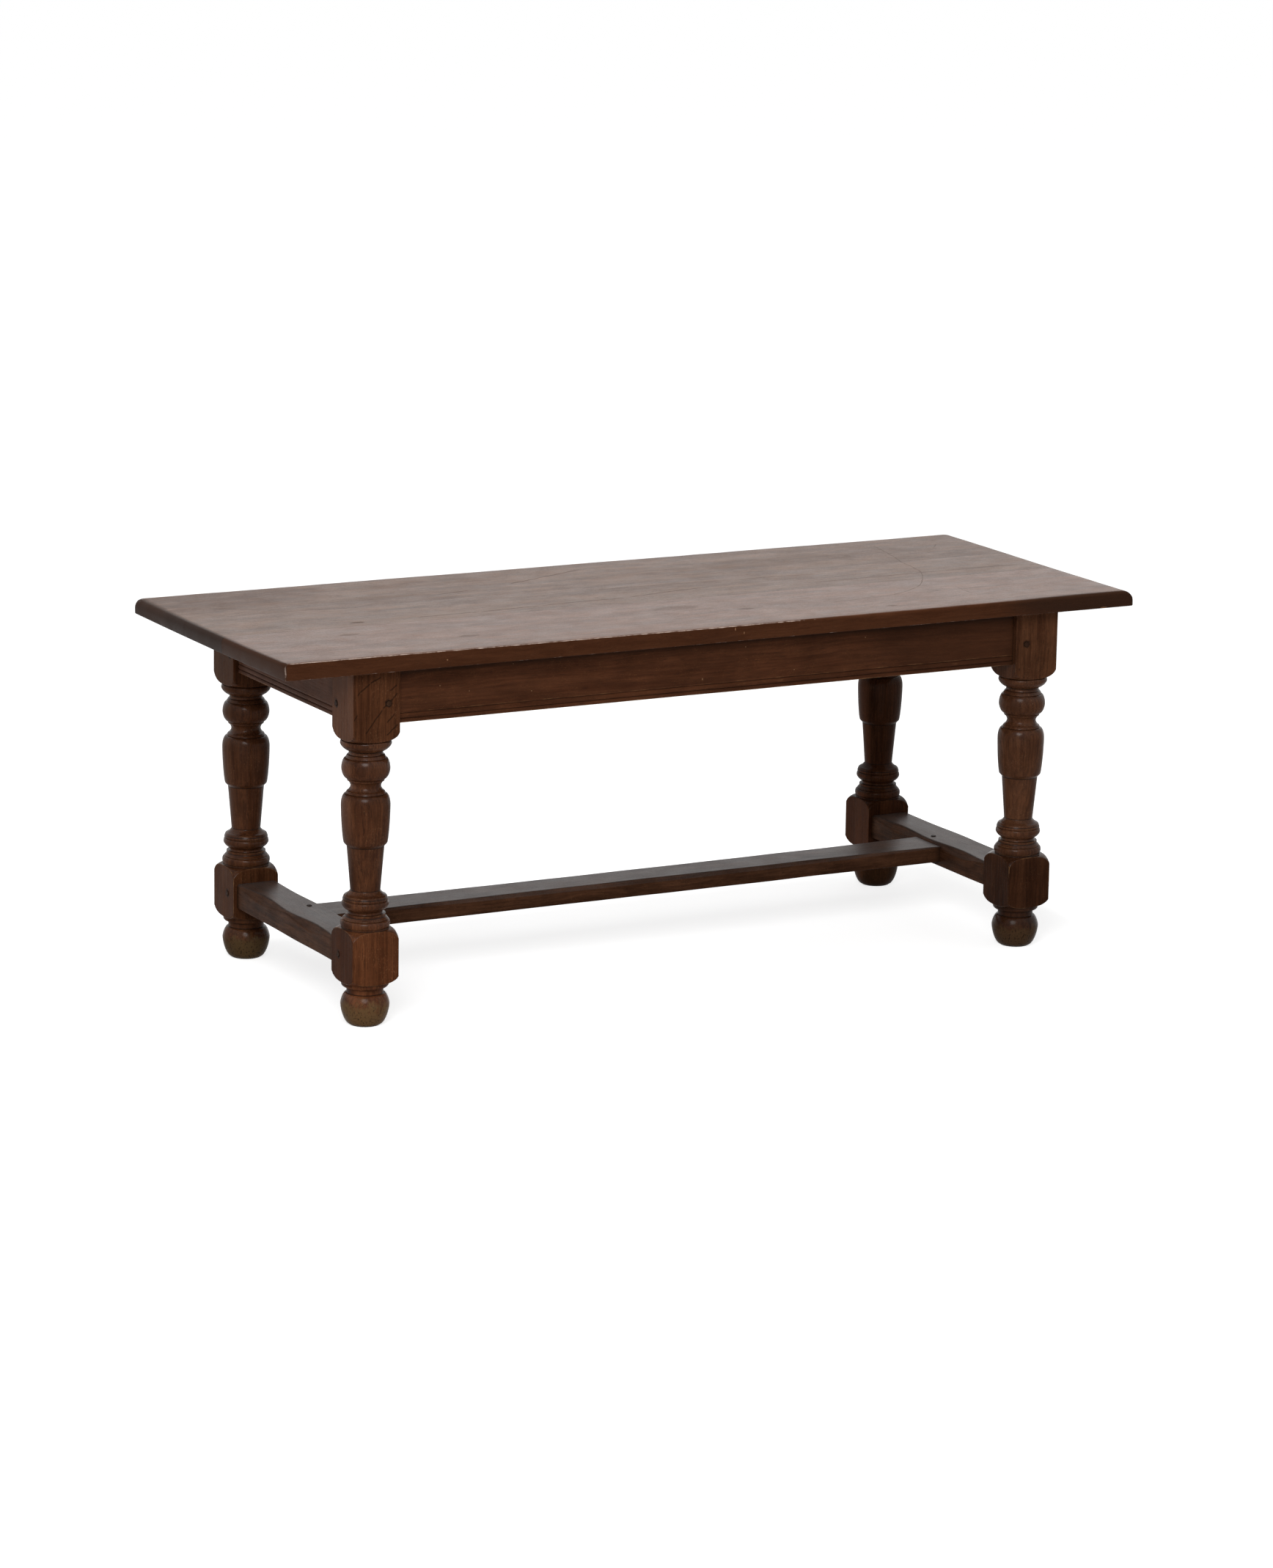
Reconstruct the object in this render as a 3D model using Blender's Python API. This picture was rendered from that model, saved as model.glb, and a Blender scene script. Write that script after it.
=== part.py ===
# Turned oak coffee table: a pegged frame on four turned legs, under a boarded top.
# Metres, +Z up. The origin is on the floor under the middle of the top, +X runs along it.

import math

import bmesh
import bpy
from mathutils import Matrix, Vector

# Overall sizes
TABLE_LENGTH = 1.400
TABLE_WIDTH = 0.541
TABLE_HEIGHT = 0.550
END_OVERHANG = 0.1175  # from the legs' end faces to the ends of the top
SIDE_OVERHANG = 0.025  # from the legs' long faces to the long edges of the top

# Clearances shared by every joint
SEAT_GAP = 0.0003  # between two pieces that touch
CUT_OVERRUN = 0.004  # how far a cutter runs past what it cuts
WELD_DISTANCE = 0.00001  # points closer than this are one point

# Top: three glued boards, well rounded at the ends and the rear, and crisper in front
TOP_THICKNESS = 0.027
FRONT_BOARD_WIDTH = 0.2125
REAR_BOARD_WIDTH = 0.1905
TOP_CORNER_RADIUS = 0.010
EDGE_INSET = 0.014  # rounding of the ends and the rear edge, measured across the top
EDGE_DROP = 0.017  # the same rounding, measured down the side
FRONT_EDGE_INSET = 0.004  # the smaller rounding of the front edge
FRONT_EDGE_DROP = 0.005
CORNER_STEPS = 3
EDGE_STEPS = 4

# Leg blank
LEG_SQUARE = 0.0725
LEG_ARRIS = 0.001  # flat planed on the four long corners
LEG_SIDES = 20

# Heights of the turned mouldings, from the floor up
FOOT_WIDEST_HEIGHT = 0.031
FOOT_TOP_HEIGHT = 0.0165
NECK_HEIGHT = 0.0055
RING_CURVE_HEIGHT = 0.0055
RING_HEIGHT = 0.0035
LOWER_BLOCK_FOOT_HEIGHT = 0.014
LOWER_BLOCK_HEIGHT = 0.044
LOWER_BLOCK_HEAD_HEIGHT = 0.0225
BLOCK_COLLAR_HEIGHT = 0.0025
LOWER_BEAD_HEIGHT = 0.0105
BEAD_FILLET_HEIGHT = 0.0037
BEAD_SLOPE_HEIGHT = 0.0041
QUIRK_HEIGHT = 0.0006
WAIST_HEIGHT = 0.0052
UPPER_BEAD_HEIGHT = 0.0148
THROAT_HEIGHT = 0.006
STEP_HEIGHT = 0.0045
VASE_HEIGHT = 0.055
VASE_SHOULDER_HEIGHT = 0.0165
FILLET_HEIGHT = 0.0042
BALL_COVE_HEIGHT = 0.013
BALL_HEIGHT = 0.0317
COLLAR_COVE_HEIGHT = 0.0055
COLLAR_HEIGHT = 0.0145
UPPER_BLOCK_FOOT_HEIGHT = 0.0220
UPPER_BLOCK_HEIGHT = 0.0852

# Radii of the turned mouldings, as shares of half the leg's square
pad_share = 0.615
foot_share = 0.966
foot_top_share = 0.786
neck_share = 0.730
ring_share = 0.950
block_collar_share = 0.945
lower_bead_share = 0.982
lower_quirk_share = 0.875
lower_lip_share = 0.905
lower_fillet_share = 0.806
waist_edge_share = 0.720
waist_share = 0.682
upper_bead_share = 0.932
upper_quirk_share = 0.860
upper_lip_share = 0.885
upper_fillet_share = 0.780
throat_edge_share = 0.745
throat_share = 0.587
taper_share = 0.742
step_share = 0.855
vase_share = 0.968
vase_fillet_share = 0.752
ball_cove_edge_share = 0.735
ball_cove_share = 0.590
ball_share = 0.962
collar_fillet_share = 0.758
collar_cove_edge_share = 0.705
collar_cove_share = 0.666
collar_share = 0.995
block_reach_share = 1.02  # past the blank's corners, so that the blocks stay square

# How far up its own height a moulding is widest
bead_swell_share = 0.625
collar_swell_share = 0.75

# Fullness of a turned curve: 2 is a true quarter round, less is flatter
ROUND = 2.0
SOFT = 1.8
FLAT = 1.5

# Aprons, tenoned between the legs
APRON_DEPTH = 0.0815
APRON_THICKNESS = 0.022
APRON_SETBACK = 0.008  # from the legs' outer faces
APRON_TENON_THICKNESS = 0.012
APRON_TENON_LENGTH = 0.032
APRON_TENON_HAUNCH = 0.012  # shoulder above the tenon
APRON_TENON_FOOT = 0.0105  # shoulder under the tenon
BEAD_FLAT = 0.0056  # plain strip under the scratched bead
BEAD_WIDTH = 0.0062
BEAD_QUIRK = 0.0013  # width and depth of the two scratched grooves
BEAD_STEPS = 4

# Stretchers, an H of two end bars and one long bar
END_BAR_WIDTH = 0.062
END_BAR_DEPTH = 0.036
END_BAR_RISE = 0.009  # underside above the foot of the legs' square lower block
LONG_BAR_WIDTH = 0.074
LONG_BAR_DEPTH = 0.0241
LONG_BAR_RISE = 0.0076  # underside above the end bars' underside
END_TENON_THICKNESS = 0.014
END_TENON_DEPTH = 0.026
END_TENON_LENGTH = 0.040
LONG_TENON_WIDTH = 0.050
LONG_TENON_DEPTH = 0.012
LONG_TENON_LENGTH = 0.042
CHAMFER_LEAST = 0.0012
END_CHAMFER_LEAST = 0.0035
END_CHAMFER_DROP = 0.011  # widest stretch of the scalloped chamfer on the end bars' left corner
END_CHAMFER_INSET = 0.009
END_EASE = 0.003  # width and depth of the slighter scallops on their right corner
LONG_CHAMFER_DROP = 0.006
LONG_CHAMFER_INSET = 0.008
END_CHAMFER_STEPS = 12
LONG_CHAMFER_STEPS = 6

# Pegs through the joints
PEG_RADIUS = 0.0041
PEG_PROUD = 0.0008
PEG_SIDES = 8
PEG_END_TAPER = 0.0006
LEG_PEG_LENGTH = 0.046
LONG_APRON_PEG_REACH = 0.018  # from the leg's axis towards the middle of the table
END_APRON_PEG_REACH = 0.022
END_BAR_PEG_REACH = 0.013
LONG_APRON_PEG_DROP = 0.050  # below the underside of the top
END_APRON_PEG_DROP = 0.056
STRETCHER_PEG_STOP = 0.006  # from the peg's foot to the end bar's underside
STRETCHER_PEG_OFFSET = 0.0125  # behind the long bar's middle line
STRETCHER_PEG_INSET = 0.017  # from the end bar's inner face

# Buttons that hold the top, and their screws
BUTTON_LENGTH = 0.042
BUTTON_WIDTH = 0.030
BUTTON_THICKNESS = 0.020
TONGUE_LENGTH = 0.009
TONGUE_THICKNESS = 0.008
BUTTON_INSET = 0.130  # from the legs' inner faces to the middles of the outer buttons
SCREW_RADIUS = 0.0022
SCREW_HEAD_RADIUS = 0.0044
SCREW_HEAD_DEPTH = 0.003
SCREW_BITE = 0.014  # how far the screw runs into the top
SCREW_SIDES = 8

# Places worked out from the sizes above
top_underside = TABLE_HEIGHT - TOP_THICKNESS
leg_height = top_underside - SEAT_GAP
half_leg = LEG_SQUARE / 2
leg_x = TABLE_LENGTH / 2 - END_OVERHANG - half_leg
leg_y = TABLE_WIDTH / 2 - SIDE_OVERHANG - half_leg
apron_inset = APRON_SETBACK + APRON_THICKNESS / 2
long_apron_y = leg_y + half_leg - apron_inset
end_apron_x = leg_x + half_leg - apron_inset
apron_top = leg_height
apron_bottom = top_underside - APRON_DEPTH
foot_height = FOOT_WIDEST_HEIGHT + FOOT_TOP_HEIGHT + NECK_HEIGHT + RING_CURVE_HEIGHT + RING_HEIGHT
end_bar_low = foot_height + LOWER_BLOCK_FOOT_HEIGHT + END_BAR_RISE
end_bar_high = end_bar_low + END_BAR_DEPTH
end_bar_middle = (end_bar_low + end_bar_high) / 2
long_bar_low = end_bar_low + LONG_BAR_RISE
long_bar_high = long_bar_low + LONG_BAR_DEPTH
long_bar_middle = (long_bar_low + long_bar_high) / 2

WOODS = {
    "top_oak": ((0.165, 0.105, 0.074), 0.42),
    "leg_oak": ((0.105, 0.048, 0.026), 0.38),
    "apron_oak": ((0.100, 0.043, 0.022), 0.38),
    "stretcher_oak": ((0.120, 0.066, 0.044), 0.48),
    "peg_oak": ((0.060, 0.030, 0.018), 0.50),
    "button_oak": ((0.250, 0.150, 0.080), 0.65),
}
STEEL = ((0.36, 0.35, 0.33), 0.45)


def clear_scene():
    for item in list(bpy.data.objects):
        bpy.data.objects.remove(item, do_unlink=True)


def finish(name, colour, roughness, metallic=0.0):
    material = bpy.data.materials.get(name) or bpy.data.materials.new(name)
    material.use_nodes = True
    shader = material.node_tree.nodes["Principled BSDF"]
    shader.inputs["Base Color"].default_value = (*colour, 1.0)
    shader.inputs["Roughness"].default_value = roughness
    shader.inputs["Metallic"].default_value = metallic
    material.diffuse_color = (*colour, 1.0)
    return material


def wood(name):
    return finish(name, *WOODS[name])


def make_object(name, bm, material=None):
    """Turn a bmesh into a scene object with its faces pointing out."""
    bmesh.ops.remove_doubles(bm, verts=bm.verts, dist=WELD_DISTANCE)
    bmesh.ops.recalc_face_normals(bm, faces=bm.faces)
    mesh = bpy.data.meshes.new(name)
    bm.to_mesh(mesh)
    bm.free()
    item = bpy.data.objects.new(name, mesh)
    bpy.context.scene.collection.objects.link(item)
    if material:
        mesh.materials.append(material)
    return item


def as_guide(item):
    item.hide_render = True
    item.display_type = "WIRE"
    return item


def combine(target, other, operation):
    """Leave a live exact Boolean on the target, with the other shape as its guide."""
    modifier = target.modifiers.new(other.name, "BOOLEAN")
    modifier.operation = operation
    modifier.solver = "EXACT"
    modifier.object = as_guide(other)


def cut(target, *cutters):
    for cutter in cutters:
        combine(target, cutter, "DIFFERENCE")


def block(name, low, high, material=None):
    """A square-edged block between two corners."""
    bm = bmesh.new()
    bmesh.ops.create_cube(bm, size=1.0)
    low, high = Vector(low), Vector(high)
    bmesh.ops.scale(bm, vec=high - low, verts=bm.verts)
    bmesh.ops.translate(bm, vec=(low + high) / 2, verts=bm.verts)
    return make_object(name, bm, material)


def loft(name, rings, material=None):
    """Close a run of matching outlines into one solid."""
    bm = bmesh.new()
    loops = [[bm.verts.new(point) for point in ring] for ring in rings]
    for lower, upper in zip(loops, loops[1:]):
        for k in range(len(lower)):
            after = (k + 1) % len(lower)
            bm.faces.new((lower[k], lower[after], upper[after], upper[k]))
    bm.faces.new(loops[0])
    bm.faces.new(loops[-1])
    return make_object(name, bm, material)


def rod(name, start, end, rings, sides, material=None):
    """A round piece from start to end, with (distance from start, radius) rings."""
    start, end = Vector(start), Vector(end)
    turn = (end - start).to_track_quat("Z", "Y").to_matrix().to_4x4()
    place = Matrix.Translation(start) @ turn
    angles = [2 * math.pi * (k + 0.5) / sides for k in range(sides)]
    outlines = []
    for distance, radius in rings:
        points = [Vector((radius * math.cos(a), radius * math.sin(a), distance)) for a in angles]
        outlines.append([place @ point for point in points])
    return loft(name, outlines, material)


def smooth(item, degrees=35):
    item.data.shade_smooth()
    item.data.set_sharp_from_angle(angle=math.radians(degrees))


# Turned legs


def curve(points, rise, radius, steps, fullness, settles):
    """Run on to a new radius along a quarter of a superellipse.

    It ends upright where it settles, and otherwise it sets off upright.
    """
    first_radius, first_height = points[-1]
    for k in range(1, steps + 1):
        turn = math.pi / 2 * k / steps
        rising = math.sin(turn) ** (2 / fullness)
        falling = 1 - abs(math.cos(turn)) ** (2 / fullness)
        reach, climb = (rising, falling) if settles else (falling, rising)
        points.append((first_radius + (radius - first_radius) * reach, first_height + rise * climb))


def straight(rise, share):
    return (rise, share, 1, ROUND, True)


def settle(rise, share, steps=2, fullness=ROUND):
    return (rise, share, steps, fullness, True)


def leave(rise, share, steps=2, fullness=ROUND):
    return (rise, share, steps, fullness, False)


def leg_profile():
    """Radius and height of each ring of the turning, from the floor to the top."""
    block_share = math.sqrt(2) * block_reach_share
    lower = [
        settle(FOOT_WIDEST_HEIGHT, foot_share, 3, FLAT),
        leave(FOOT_TOP_HEIGHT, foot_top_share, 2, FLAT),
        straight(0, neck_share),
        straight(NECK_HEIGHT, neck_share),
        settle(RING_CURVE_HEIGHT, ring_share, 1),
        straight(RING_HEIGHT, ring_share),
        settle(LOWER_BLOCK_FOOT_HEIGHT, block_share, 3, FLAT),
        straight(LOWER_BLOCK_HEIGHT, block_share),
        leave(LOWER_BLOCK_HEAD_HEIGHT, block_collar_share, 3, FLAT),
        straight(BLOCK_COLLAR_HEIGHT, block_collar_share),
        settle(LOWER_BEAD_HEIGHT / 2, lower_bead_share, 1),
        leave(LOWER_BEAD_HEIGHT / 2, lower_quirk_share, 1),
        straight(QUIRK_HEIGHT, lower_lip_share),
        straight(BEAD_SLOPE_HEIGHT, lower_fillet_share),
        straight(BEAD_FILLET_HEIGHT, lower_fillet_share),
        straight(0, waist_edge_share),
        settle(WAIST_HEIGHT / 2, waist_share, 1),
        leave(WAIST_HEIGHT / 2, waist_edge_share, 1),
        settle(UPPER_BEAD_HEIGHT * bead_swell_share, upper_bead_share, 2, FLAT),
        leave(UPPER_BEAD_HEIGHT * (1 - bead_swell_share), upper_quirk_share, 1),
        straight(QUIRK_HEIGHT, upper_lip_share),
        straight(BEAD_SLOPE_HEIGHT, upper_fillet_share),
        straight(BEAD_FILLET_HEIGHT / 2, upper_fillet_share),
        straight(0, throat_edge_share),
        settle(THROAT_HEIGHT, throat_share, 2, FLAT),
    ]
    upper = [
        straight(STEP_HEIGHT, step_share),
        settle(VASE_HEIGHT, vase_share, 2, FLAT),
        leave(VASE_SHOULDER_HEIGHT, vase_fillet_share, 3),
        straight(FILLET_HEIGHT, vase_fillet_share),
        straight(0, ball_cove_edge_share),
        settle(BALL_COVE_HEIGHT / 2, ball_cove_share),
        leave(BALL_COVE_HEIGHT / 2, ball_cove_edge_share),
        straight(FILLET_HEIGHT, ball_cove_edge_share),
        settle(BALL_HEIGHT / 2, ball_share, 3, SOFT),
        leave(BALL_HEIGHT / 2, collar_fillet_share, 3, SOFT),
        straight(FILLET_HEIGHT, collar_fillet_share),
        straight(0, collar_cove_edge_share),
        settle(COLLAR_COVE_HEIGHT / 2, collar_cove_share, 1),
        leave(COLLAR_COVE_HEIGHT / 2, collar_cove_edge_share, 1),
        settle(COLLAR_HEIGHT * collar_swell_share, collar_share, 3, FLAT),
        leave(COLLAR_HEIGHT * (1 - collar_swell_share), ring_share, 1),
        settle(UPPER_BLOCK_FOOT_HEIGHT, block_share, 3),
        straight(UPPER_BLOCK_HEIGHT, block_share),
    ]
    used = sum(row[0] for row in lower + upper)
    taper = [straight(leg_height - used, taper_share)]
    points = [(pad_share * half_leg, 0.0)]
    for rise, share, steps, fullness, settles in lower + taper + upper:
        curve(points, rise, share * half_leg, steps, fullness, settles)
    return points


def turning(name, material):
    """The whole leg as it leaves the lathe, before its blocks are planed square."""
    bm = bmesh.new()
    profile = leg_profile()
    outline = [(0, 0)] + profile + [(0, profile[-1][1])]
    verts = [bm.verts.new((radius, 0, height)) for radius, height in outline]
    edges = [bm.edges.new(pair) for pair in zip(verts, verts[1:])]
    bmesh.ops.spin(
        bm, geom=verts + edges, cent=(0, 0, 0), axis=(0, 0, 1),
        angle=2 * math.pi, steps=LEG_SIDES, use_merge=True,
    )
    return make_object(name, bm, material)


def blank(name):
    """The square blank, with its long corners eased, as a guide."""
    low = half_leg - LEG_ARRIS
    corners = []
    for sx, sy in ((1, 1), (-1, 1), (-1, -1), (1, -1)):
        pair = [(sx * half_leg, sy * low), (sx * low, sy * half_leg)]
        corners += pair if sx * sy > 0 else pair[::-1]
    rings = [[(x, y, z) for x, y in corners] for z in (-CUT_OVERRUN, leg_height + CUT_OVERRUN)]
    return loft(name, rings)


def make_leg(name, side_x, side_y):
    leg = turning(name, wood("leg_oak"))
    square = blank(name + "_blank")
    for item in (leg, square):
        item.location = (side_x * leg_x, side_y * leg_y, 0)
    combine(leg, square, "INTERSECT")
    smooth(leg)
    return leg


# Aprons


def apron_section():
    """Outline of an apron across its thickness: (out from its middle, height)."""
    face = APRON_THICKNESS / 2
    points = [(-face, apron_bottom), (face, apron_bottom)]
    height = apron_bottom + BEAD_FLAT
    points += [(face, height), (face - BEAD_QUIRK, height + BEAD_QUIRK / 2)]
    height += BEAD_QUIRK
    for k in range(BEAD_STEPS + 1):
        turn = math.pi * k / BEAD_STEPS
        out = face - BEAD_QUIRK / 2 * (1 - math.sin(turn))
        points.append((out, height + BEAD_WIDTH * (1 - math.cos(turn)) / 2))
    height += BEAD_WIDTH
    points += [(face - BEAD_QUIRK, height + BEAD_QUIRK / 2), (face, height + BEAD_QUIRK)]
    points += [(face, apron_top), (-face, apron_top)]
    return points


def apron_tenon(name, reach, clearance):
    """Tenon block that starts inside the apron and runs reach out from its middle."""
    half_width = APRON_TENON_THICKNESS / 2 + clearance
    low = apron_bottom + APRON_TENON_FOOT - clearance
    high = apron_top - APRON_TENON_HAUNCH + clearance
    return block(name, (-reach, -half_width, low), (reach, half_width, high))


def place_side(item, centre, turn):
    """Stand a piece that was made along X at its side of the table."""
    item.location = centre
    item.rotation_euler = (0, 0, turn)


def make_apron(name, half_length, centre, turn):
    """An apron made along X, with its moulded face at -Y, then turned into place."""
    section = apron_section()
    reach = half_length - SEAT_GAP
    rings = [[(x, -out, z) for out, z in section] for x in (-reach, reach)]
    apron = loft(name, rings, wood("apron_oak"))
    tenon = apron_tenon(name + "_tenon", half_length + APRON_TENON_LENGTH, 0)
    place_side(apron, centre, turn)
    place_side(tenon, centre, turn)
    combine(apron, tenon, "UNION")
    mortise = apron_tenon(name + "_mortise", half_length + APRON_TENON_LENGTH + SEAT_GAP, SEAT_GAP)
    place_side(mortise, centre, turn)
    return apron, mortise


# Stretchers


def bar_section(half_width, low, high, near, far):
    """Outline of a bar whose two upper corners are cut by (inset, drop) chamfers."""
    return [
        (-half_width, low), (half_width, low), (half_width, high - near[1]),
        (half_width - near[0], high), (-half_width + far[0], high), (-half_width, high - far[1]),
    ]


def end_scallop(share):
    """Two scallops a side: narrow at the legs and in the middle of the bar."""
    return abs(math.sin(2 * math.pi * share)) ** ROUND


def long_scallop(share):
    """One long chamfer that dies out at both shoulders."""
    return abs(math.sin(math.pi * share)) ** (1 / ROUND)


def chamfer_at(wide, least, inset, drop):
    """Chamfer that grows from its least width to its full inset and drop."""
    return (least + (inset - least) * wide, least + (drop - least) * wide)


def bar_rings(half_length, half_width, low, high, near, far, scallop, steps):
    """Outlines along X of a bar whose upper corners carry chamfers of varying width."""
    rings = []
    for k in range(steps + 1):
        share = k / steps
        x = (half_length - SEAT_GAP) * (2 * share - 1)
        wide = scallop(share)
        section = bar_section(half_width, low, high, chamfer_at(wide, *near), chamfer_at(wide, *far))
        rings.append([(x, y, z) for y, z in section])
    return rings


def bar_tenon(name, reach, width, depth, middle_height, clearance):
    low = (-reach - clearance, -width / 2 - clearance, middle_height - depth / 2 - clearance)
    high = (reach + clearance, width / 2 + clearance, middle_height + depth / 2 + clearance)
    return block(name, low, high)


def make_end_bar(name, side):
    """The bar between the two legs of one end, and the mortises it needs in them."""
    half_length = leg_y - half_leg
    left = (END_CHAMFER_LEAST, END_CHAMFER_INSET, END_CHAMFER_DROP)
    right = (CHAMFER_LEAST, END_EASE, END_EASE)
    sizes = (half_length, END_BAR_WIDTH / 2, end_bar_low, end_bar_high)
    rings = bar_rings(*sizes, left, right, end_scallop, END_CHAMFER_STEPS)
    bar = loft(name, rings, wood("stretcher_oak"))
    tenon_sizes = (half_length + END_TENON_LENGTH, END_TENON_THICKNESS, END_TENON_DEPTH, end_bar_middle)
    tenon = bar_tenon(name + "_tenon", *tenon_sizes, 0)
    mortise = bar_tenon(name + "_mortise", *tenon_sizes, SEAT_GAP)
    for item in (bar, tenon, mortise):
        place_side(item, (side * leg_x, 0, 0), math.pi / 2)
    combine(bar, tenon, "UNION")
    return bar, mortise


def make_long_bar(name):
    half_length = leg_x - END_BAR_WIDTH / 2
    chamfer = (CHAMFER_LEAST, LONG_CHAMFER_INSET, LONG_CHAMFER_DROP)
    sizes = (half_length, LONG_BAR_WIDTH / 2, long_bar_low, long_bar_high)
    rings = bar_rings(*sizes, chamfer, chamfer, long_scallop, LONG_CHAMFER_STEPS)
    bar = loft(name, rings, wood("stretcher_oak"))
    tenon_sizes = (half_length + LONG_TENON_LENGTH, LONG_TENON_WIDTH, LONG_TENON_DEPTH, long_bar_middle)
    tenon = bar_tenon(name + "_tenon", *tenon_sizes, 0)
    mortise = bar_tenon(name + "_mortise", *tenon_sizes, SEAT_GAP)
    combine(bar, tenon, "UNION")
    return bar, mortise


# Pegs


def make_peg(name, head, inwards, length):
    """A peg whose head stands a little proud of the face at head; returns its hole."""
    inwards = Vector(inwards)
    start = Vector(head) - inwards * PEG_PROUD
    full = PEG_PROUD + length
    end = start + inwards * full
    tip_radius = PEG_RADIUS - PEG_END_TAPER
    rings = ((0, tip_radius), (PEG_END_TAPER, PEG_RADIUS), (full, tip_radius))
    rod(name, start, end, rings, PEG_SIDES, wood("peg_oak"))
    hole_start = start - inwards * CUT_OVERRUN
    hole_length = CUT_OVERRUN + full + SEAT_GAP
    hole_rings = ((0, PEG_RADIUS + SEAT_GAP), (hole_length, PEG_RADIUS + SEAT_GAP))
    return rod(name + "_hole", hole_start, end, hole_rings, PEG_SIDES)


# Top


def rounded_outline(half_length, rear, front, radius, height):
    """Outline of the top, from its rear right corner round to its front right one."""
    points = []
    sides = ((1, rear - radius), (-1, rear - radius), (-1, radius - front), (1, radius - front))
    for quarter, (side, y) in enumerate(sides):
        centre = (side * (half_length - radius), y)
        for k in range(CORNER_STEPS + 1):
            turn = math.pi / 2 * (quarter + k / CORNER_STEPS)
            reach = (radius * math.cos(turn), radius * math.sin(turn))
            points.append((centre[0] + reach[0], centre[1] + reach[1], height))
    return points


def edge_inset(height, inset, drop):
    """How far an elliptical rounding has drawn in at a height."""
    climb = min(max((height - TABLE_HEIGHT + drop) / drop, 0), 1)
    return inset * (1 - math.sqrt(1 - climb ** 2))


def make_slab(name):
    """The whole top as one piece, with its rounded upper edges."""
    half_length, half_width = TABLE_LENGTH / 2, TABLE_WIDTH / 2
    rings = [rounded_outline(half_length, half_width, half_width, TOP_CORNER_RADIUS, top_underside)]
    for k in range(EDGE_STEPS + 1):
        turn = math.pi / 2 * k / EDGE_STEPS
        height = TABLE_HEIGHT - EDGE_DROP * (1 - math.sin(turn))
        inset = edge_inset(height, EDGE_INSET, EDGE_DROP)
        front = half_width - edge_inset(height, FRONT_EDGE_INSET, FRONT_EDGE_DROP)
        radius = TOP_CORNER_RADIUS * (1 + math.cos(turn)) / 2
        rings.append(rounded_outline(half_length - inset, half_width - inset, front, radius, height))
    return loft(name, rings, wood("top_oak"))


def trim(item, places):
    """Keep the part of a slab between two planes across Y, and close the cut faces."""
    bm = bmesh.new()
    bm.from_mesh(item.data)
    for y, side in places:
        bmesh.ops.bisect_plane(
            bm, geom=bm.verts[:] + bm.edges[:] + bm.faces[:], dist=WELD_DISTANCE,
            plane_co=(0, y, 0), plane_no=(0, side, 0), clear_outer=True,
        )
        rim = [edge for edge in bm.edges if edge.is_boundary]
        bmesh.ops.contextual_create(bm, geom=rim)
    bmesh.ops.recalc_face_normals(bm, faces=bm.faces)
    bm.to_mesh(item.data)
    bm.free()


def make_boards():
    front_seam = -TABLE_WIDTH / 2 + FRONT_BOARD_WIDTH
    rear_seam = TABLE_WIDTH / 2 - REAR_BOARD_WIDTH
    half_gap = SEAT_GAP / 2
    limits = {
        "top_board_front": [(front_seam - half_gap, 1)],
        "top_board_middle": [(front_seam + half_gap, -1), (rear_seam - half_gap, 1)],
        "top_board_rear": [(rear_seam + half_gap, -1)],
    }
    boards = []
    for name, places in limits.items():
        board = make_slab(name)
        trim(board, places)
        smooth(board)
        boards.append(board)
    return boards


# Buttons and screws under the top


def make_button(name, turn, centre, apron_middle):
    """A tongued block made along +Y, with its tongue in the apron's inner face.

    Returns the block, the slot its tongue needs and the screw's holes and shank.
    """
    high = top_underside - SEAT_GAP
    low = high - BUTTON_THICKNESS
    inner_face = apron_middle - APRON_THICKNESS / 2
    near = inner_face - SEAT_GAP
    far = near - BUTTON_LENGTH
    half_width = BUTTON_WIDTH / 2
    tongue_high = low + TONGUE_THICKNESS
    tip = near + TONGUE_LENGTH
    outline = [(far, low), (tip, low), (tip, tongue_high), (near, tongue_high), (near, high), (far, high)]
    rings = [[(x, y, z) for y, z in outline] for x in (-half_width, half_width)]
    button = loft(name, rings, wood("button_oak"))
    slot_low = (-half_width - SEAT_GAP, inner_face - CUT_OVERRUN, low - SEAT_GAP)
    slot_high = (half_width + SEAT_GAP, tip + SEAT_GAP, tongue_high + SEAT_GAP)
    slot = block(name + "_slot", slot_low, slot_high)
    screw_y = far + (near - far) / 2
    foot, tip_height = (0, screw_y, low), (0, screw_y, top_underside + SCREW_BITE)
    full = tip_height[2] - low
    rings = ((0, SCREW_HEAD_RADIUS), (SCREW_HEAD_DEPTH, SCREW_RADIUS), (full, SCREW_RADIUS / 2))
    steel = finish("screw_steel", *STEEL, 1.0)
    screw = rod(name.replace("button", "screw"), foot, tip_height, rings, SCREW_SIDES, steel)
    below = (0, screw_y, low - CUT_OVERRUN)
    hole_rings = (
        (0, SCREW_HEAD_RADIUS + SEAT_GAP), (CUT_OVERRUN, SCREW_HEAD_RADIUS + SEAT_GAP),
        (CUT_OVERRUN + SCREW_HEAD_DEPTH, SCREW_RADIUS + SEAT_GAP),
        (CUT_OVERRUN + full + SEAT_GAP, SCREW_RADIUS + SEAT_GAP),
    )
    hole = rod(name + "_hole", below, tip_height, hole_rings, SCREW_SIDES)
    cut(button, hole)
    smooth(screw)
    for item in (button, slot, screw, hole):
        place_side(item, centre, turn)
    return slot, hole


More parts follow.
